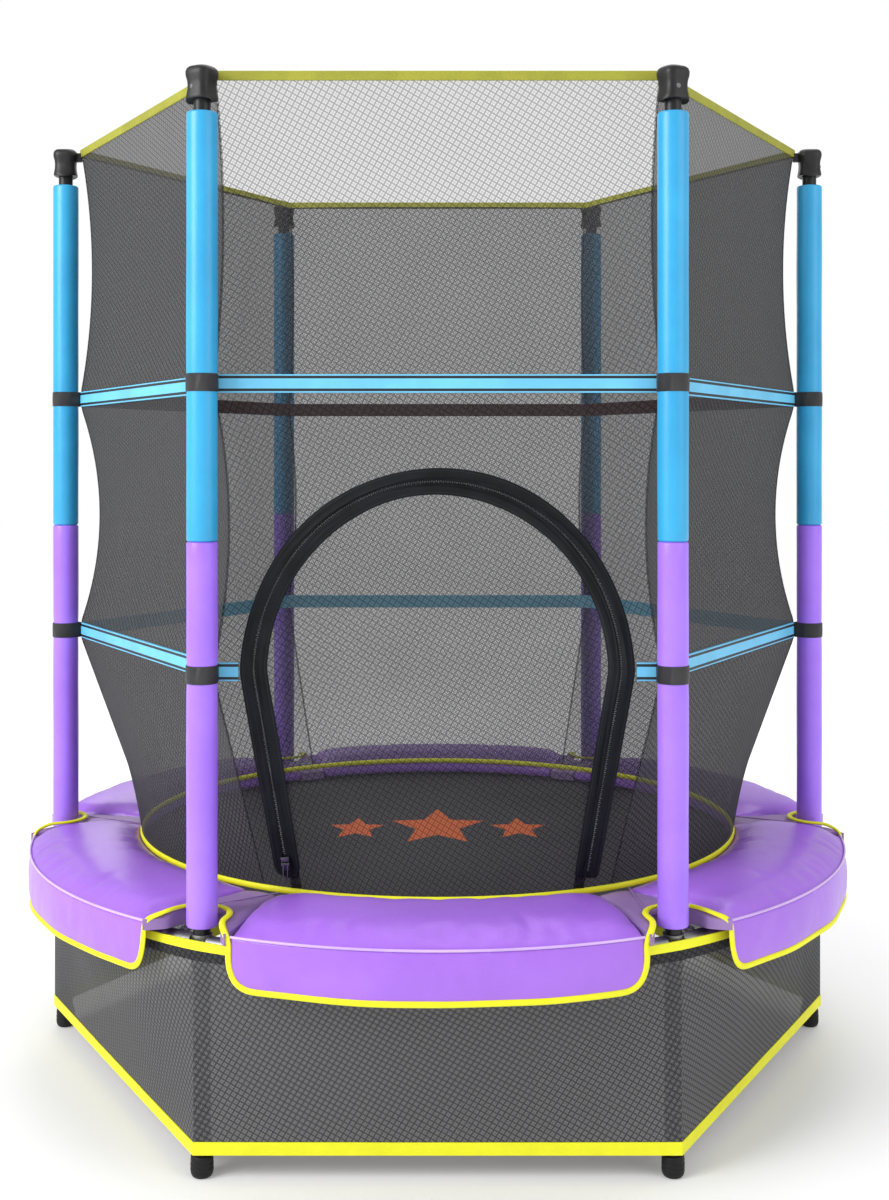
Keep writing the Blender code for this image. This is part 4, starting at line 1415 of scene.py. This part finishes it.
def buildSections():
    cage = makePiece("sectionShape", sectionCage(), padVinyl, body=None)
    swellSection(cage)
    addModifier(cage, "SMOOTH", factor=0.6, iterations=14)
    addModifier(cage, "SUBSURF", levels=1, render_levels=1)
    applyAll(cage)
    for side, name in enumerate(sideNames):
        bm = bmesh.new()
        bm.from_mesh(cage.data)
        if side % 2:
            scaleBy(bm, (1, -1, 1))
            bmesh.ops.reverse_faces(bm, faces=bm.faces)
        turnBy(bm, (side + 0.5) * sixth)
        section = makePiece("pad_section_" + name, bm, padVinyl, slot="pad_cover",
                            instead=["frame_pad"] if side == 0 else (), sharp=60)
    bpy.data.objects.remove(cage)


# plan of a notch at an upright, c from -1 to 1: round behind the pole, then flaring to the rim
def notchPoint(c):
    side = -1 if c < 0 else 1
    if abs(c) < 0.6:
        turn = c / 0.6 * math.pi / 2
        return Vector((pad.notchMiddle - pad.notchR * math.cos(turn), pad.notchR * math.sin(turn)))
    flare = (abs(c) - 0.6) / 0.4
    return Vector((pad.notchMiddle + (pad.notchOut - pad.notchMiddle) * flare,
                   side * (pad.notchR + pad.notchSpread * flare ** 1.6)))


def gussetPiece(index, name):
    def rule(across, up):
        c = across * 2 - 1
        inner = Vector((pad.inR + gussetShape.inset, c * (pad.gap - gussetShape.inset)))
        outer = notchPoint(c)
        outer.y *= 0.985
        place = inner.lerp(outer, up)
        edge = min(min(across, 1 - across) * 9, min(up, 1 - up) * 9, 1)
        ripple = noise.noise(Vector((place.x * 30, place.y * 30, index * 3.0))) * gussetShape.ripple
        high = gussetShape.low + gussetShape.swell * math.sqrt(edge)
        return Vector((place.x, place.y, high + ripple * edge))
    bm = bmesh.new()
    ruledSheet(bm, 40, 16, 0.1, 0.12, rule)
    closeBelow(bm)
    seam = [Vector((pad.inR + 0.006 + 0.108 * step / 24, 0.030 - 0.052 * step / 24, 0.3765))
            for step in range(25)]
    sweepInto(bm, seam, ovalSection(0.0022, 0.0018, 6), False, Vector((0, 0, 1)))
    facesOut(bm)
    turnBy(bm, index * sixth)
    gusset = makePiece("pad_gusset_" + name, bm, gussetShadeVinyl, slot="pad_cover")


def flapRise(fromEnd):
    if fromEnd >= flap.corner:
        return 0.0
    reach = flap.corner - max(0.0, fromEnd)
    return flap.corner - math.sqrt(max(0.0, flap.corner ** 2 - reach ** 2))


def flapPlace(side, turn, up, lift=0.0):
    fromEnd = (flapHalf - abs(turn)) * flap.radius
    low = flap.low + flapRise(fromEnd)
    z = low + (flap.top - low) * up
    depth = (z - flap.low) / (flap.top - flap.low)
    wave = noise.noise(Vector((turn * 7, side * 4.3, 0.5))) * 0.0050 * (1 - depth)
    pucker = noise.noise(Vector((turn * 34, side * 2.7, depth * 2))) * 0.0012 * math.sin(math.pi * depth)
    swell = flap.puff * math.sin(math.pi * min(1, max(0, depth)) ** 0.8)
    return onCircle(flap.radius + swell + wave + pucker + lift, (side + 0.5) * sixth + turn, z)


def buildFlaps():
    wide = 2 * flapHalf * flap.radius
    for side, name in enumerate(sideNames):
        def rule(across, up):
            eased = across - 0.045 * math.sin(4 * math.pi * across) / 2
            return flapPlace(side, (eased * 2 - 1) * flapHalf, up)
        bm = bmesh.new()
        ruledSheet(bm, flap.columns, flap.rows, wide, flap.depth, rule)
        turnOutward(bm, onCircle(1, (side + 0.5) * sixth, 0))
        piece = makePiece("pad_flap_" + name, bm, padVinyl, slot="pad_cover")
        addModifier(piece, "SOLIDIFY", thickness=flap.thick, offset=-1)
        points = [flapPlace(side, (step / 40 - 1) * flapHalf * 0.995, 1.0, 0.0008) + Vector((0, 0, 0.0006))
                  for step in range(81)]
        sweptPiece("pad_crease_welt_" + name, points, ovalSection(0.0034, 0.0040, 8), False,
                   Vector((0, 0, 1)), weltHighlightVinyl, slot="pad_cover")


piping = Shape(wide=0.0095, high=0.0052, rimR=0.5305, rimZ=0.3800, dip=0.0125)


# the yellow edge runs round every flap, over its ends and behind the pole, in one line
def pipingLine():
    points, normals = [], []

    def addFlapPoint(side, turn, up):
        points.append(flapPlace(side, turn, up, 0.001))
        normals.append(points[-1].xy.to_3d().normalized())
    for index in range(6):
        turnStation = Matrix.Rotation(index * sixth, 3, "Z")
        for step in range(41):
            plan = notchPoint(-1 + step / 20)
            share = min(1.0, max(0.0, (plan.x - pad.notchMiddle) / 0.030))
            height = piping.rimZ - piping.dip * share ** 1.5
            points.append(turnStation @ Vector((plan.x - 0.002, plan.y, height)))
            normals.append((turnStation @ Vector((share ** 2 * 1.2, 0, 1))).normalized())
        for step in range(1, 8):
            addFlapPoint(index, -flapHalf, 1 - step / 8)
        for step in range(0, 131):
            eased = step / 65 - 1 - 0.10 * math.sin(math.pi * step / 65)
            addFlapPoint(index, eased * flapHalf, 0.0)
        for step in range(1, 8):
            addFlapPoint(index, flapHalf, step / 8)
    return smoothLoop(points, 5), smoothLoop(normals, 8)


def buildPiping():
    points, normals = pipingLine()
    section = ovalSection(piping.wide, piping.high, 10)
    sweptPiece("pad_outer_piping", points, section, True, normals, yellowTape, sharp=80)
    rimSection = ovalSection(0.0066, 0.0100, 12)
    rimLine = [(piping.rimR + out, piping.rimZ + lift) for out, lift in rimSection]
    rim = latheMesh(rimLine, 160, True)
    wrapUV(rim)
    makePiece("pad_inner_piping", rim, yellowTape, sharp=80)


buildSections()
for index, name in enumerate(stations):
    gussetPiece(index, name)
buildFlaps()
buildPiping()
print("padded ring sewn")


skirt = Shape(radius=0.7000, low=0.0370, top=0.3440, columns=40, rows=26, wave=0.0022,
              hemLow=0.0185, hemTop=0.0130, band=0.0150, length=0.310)


# flat between the legs at the bottom hem, drawn round over the ring tube at the top
def skirtPlace(turn, z):
    side = math.floor(turn + 1e-9) % 6
    share = turn - math.floor(turn + 1e-9)
    up = (z - skirt.low) / (skirt.top - skirt.low)
    flat = onHexagon(skirt.radius, side, share, z)
    drawn = onCircle(skirt.radius, (side + share) * sixth, z)
    place = flat.lerp(drawn, max(0.0, up) ** 1.6)
    loose = math.sin(math.pi * share) * math.sin(math.pi * min(1, max(0, up))) ** 0.7
    wave = noise.noise(Vector((share * 6 + side * 9, z * 7, side * 2.0))) * skirt.wave
    fold = noise.noise(Vector((share * 26 + side * 9, z * 2.5, 4.0))) * skirt.wave * 0.5
    return place + onCircle(1, (side + 0.5) * sixth, 0) * ((wave + fold) * loose)


def skirtStrip(name, low, high, thick, material, **more):
    rows = []
    for step in range(240):
        turn = step / 40
        outward = onCircle(1, turn * sixth, 0)
        under, over = skirtPlace(turn, low), skirtPlace(turn, high)
        corners = ((-thick / 2, under), (thick / 2, under), (thick / 2 + 0.0004, (under + over) / 2),
                   (thick / 2, over), (-thick / 2, over))
        rows.append([place + outward * out for out, place in corners])
    rowsPiece(name, rows, True, material, **more)


def buildSkirt():
    bm = bmesh.new()
    for side in range(6):
        def rule(across, up):
            z = skirt.low + (skirt.top - skirt.low) * up
            return skirtPlace(side + min(across, 0.99999), z)
        ruledSheet(bm, skirt.columns, skirt.rows, 0.70, skirt.length, rule)
    bmesh.ops.remove_doubles(bm, verts=bm.verts, dist=5e-5)
    sheet = makePiece("skirt_mesh", bm, skirtMesh, slot="skirt_mesh", instead=["skirt"])
    low, top = skirt.low, skirt.top
    hemFoot = top - skirt.hemTop
    skirtStrip("skirt_bottom_hem", low - 0.0005, low + skirt.hemLow, 0.0026, yellowTape)
    skirtStrip("skirt_top_hem", hemFoot, top + 0.0005, 0.0026, yellowTape)
    skirtStrip("skirt_top_band", hemFoot - skirt.band, hemFoot + 0.001, 0.0014, skirtDouble,
               slot="skirt_mesh")


buildSkirt()
print("skirt hung")


floorMaterial = grainMaterial("paleFloor", (0.90, 0.90, 0.90), (0.885, 0.885, 0.89), 0.75, 0.0002,
                              30, 0.6, 0.05, Emission_Strength=0.44)
floorTree = floorMaterial.node_tree
floorSpot = addNode(floorTree, "ShaderNodeTexCoord").outputs["Object"]
floorAway = addNode(floorTree, "ShaderNodeVectorMath", {"operation": "LENGTH"}, {0: floorSpot})
# no horizon far off, a soft shadow close by
floorGlow = mapRange(floorTree, floorAway.outputs["Value"], 1.0, 6.0, 0.3, 1.0)
floorTree.links.new(floorGlow, floorTree.nodes["Principled BSDF"].inputs["Emission Color"])
floorShape = bmesh.new()
bmesh.ops.create_circle(floorShape, cap_ends=True, segments=96, radius=24,
                        matrix=Matrix.Translation((0, 0, -0.0005)))
floor = makePiece("floor", floorShape, floorMaterial, body=None)

print("pieces ready")
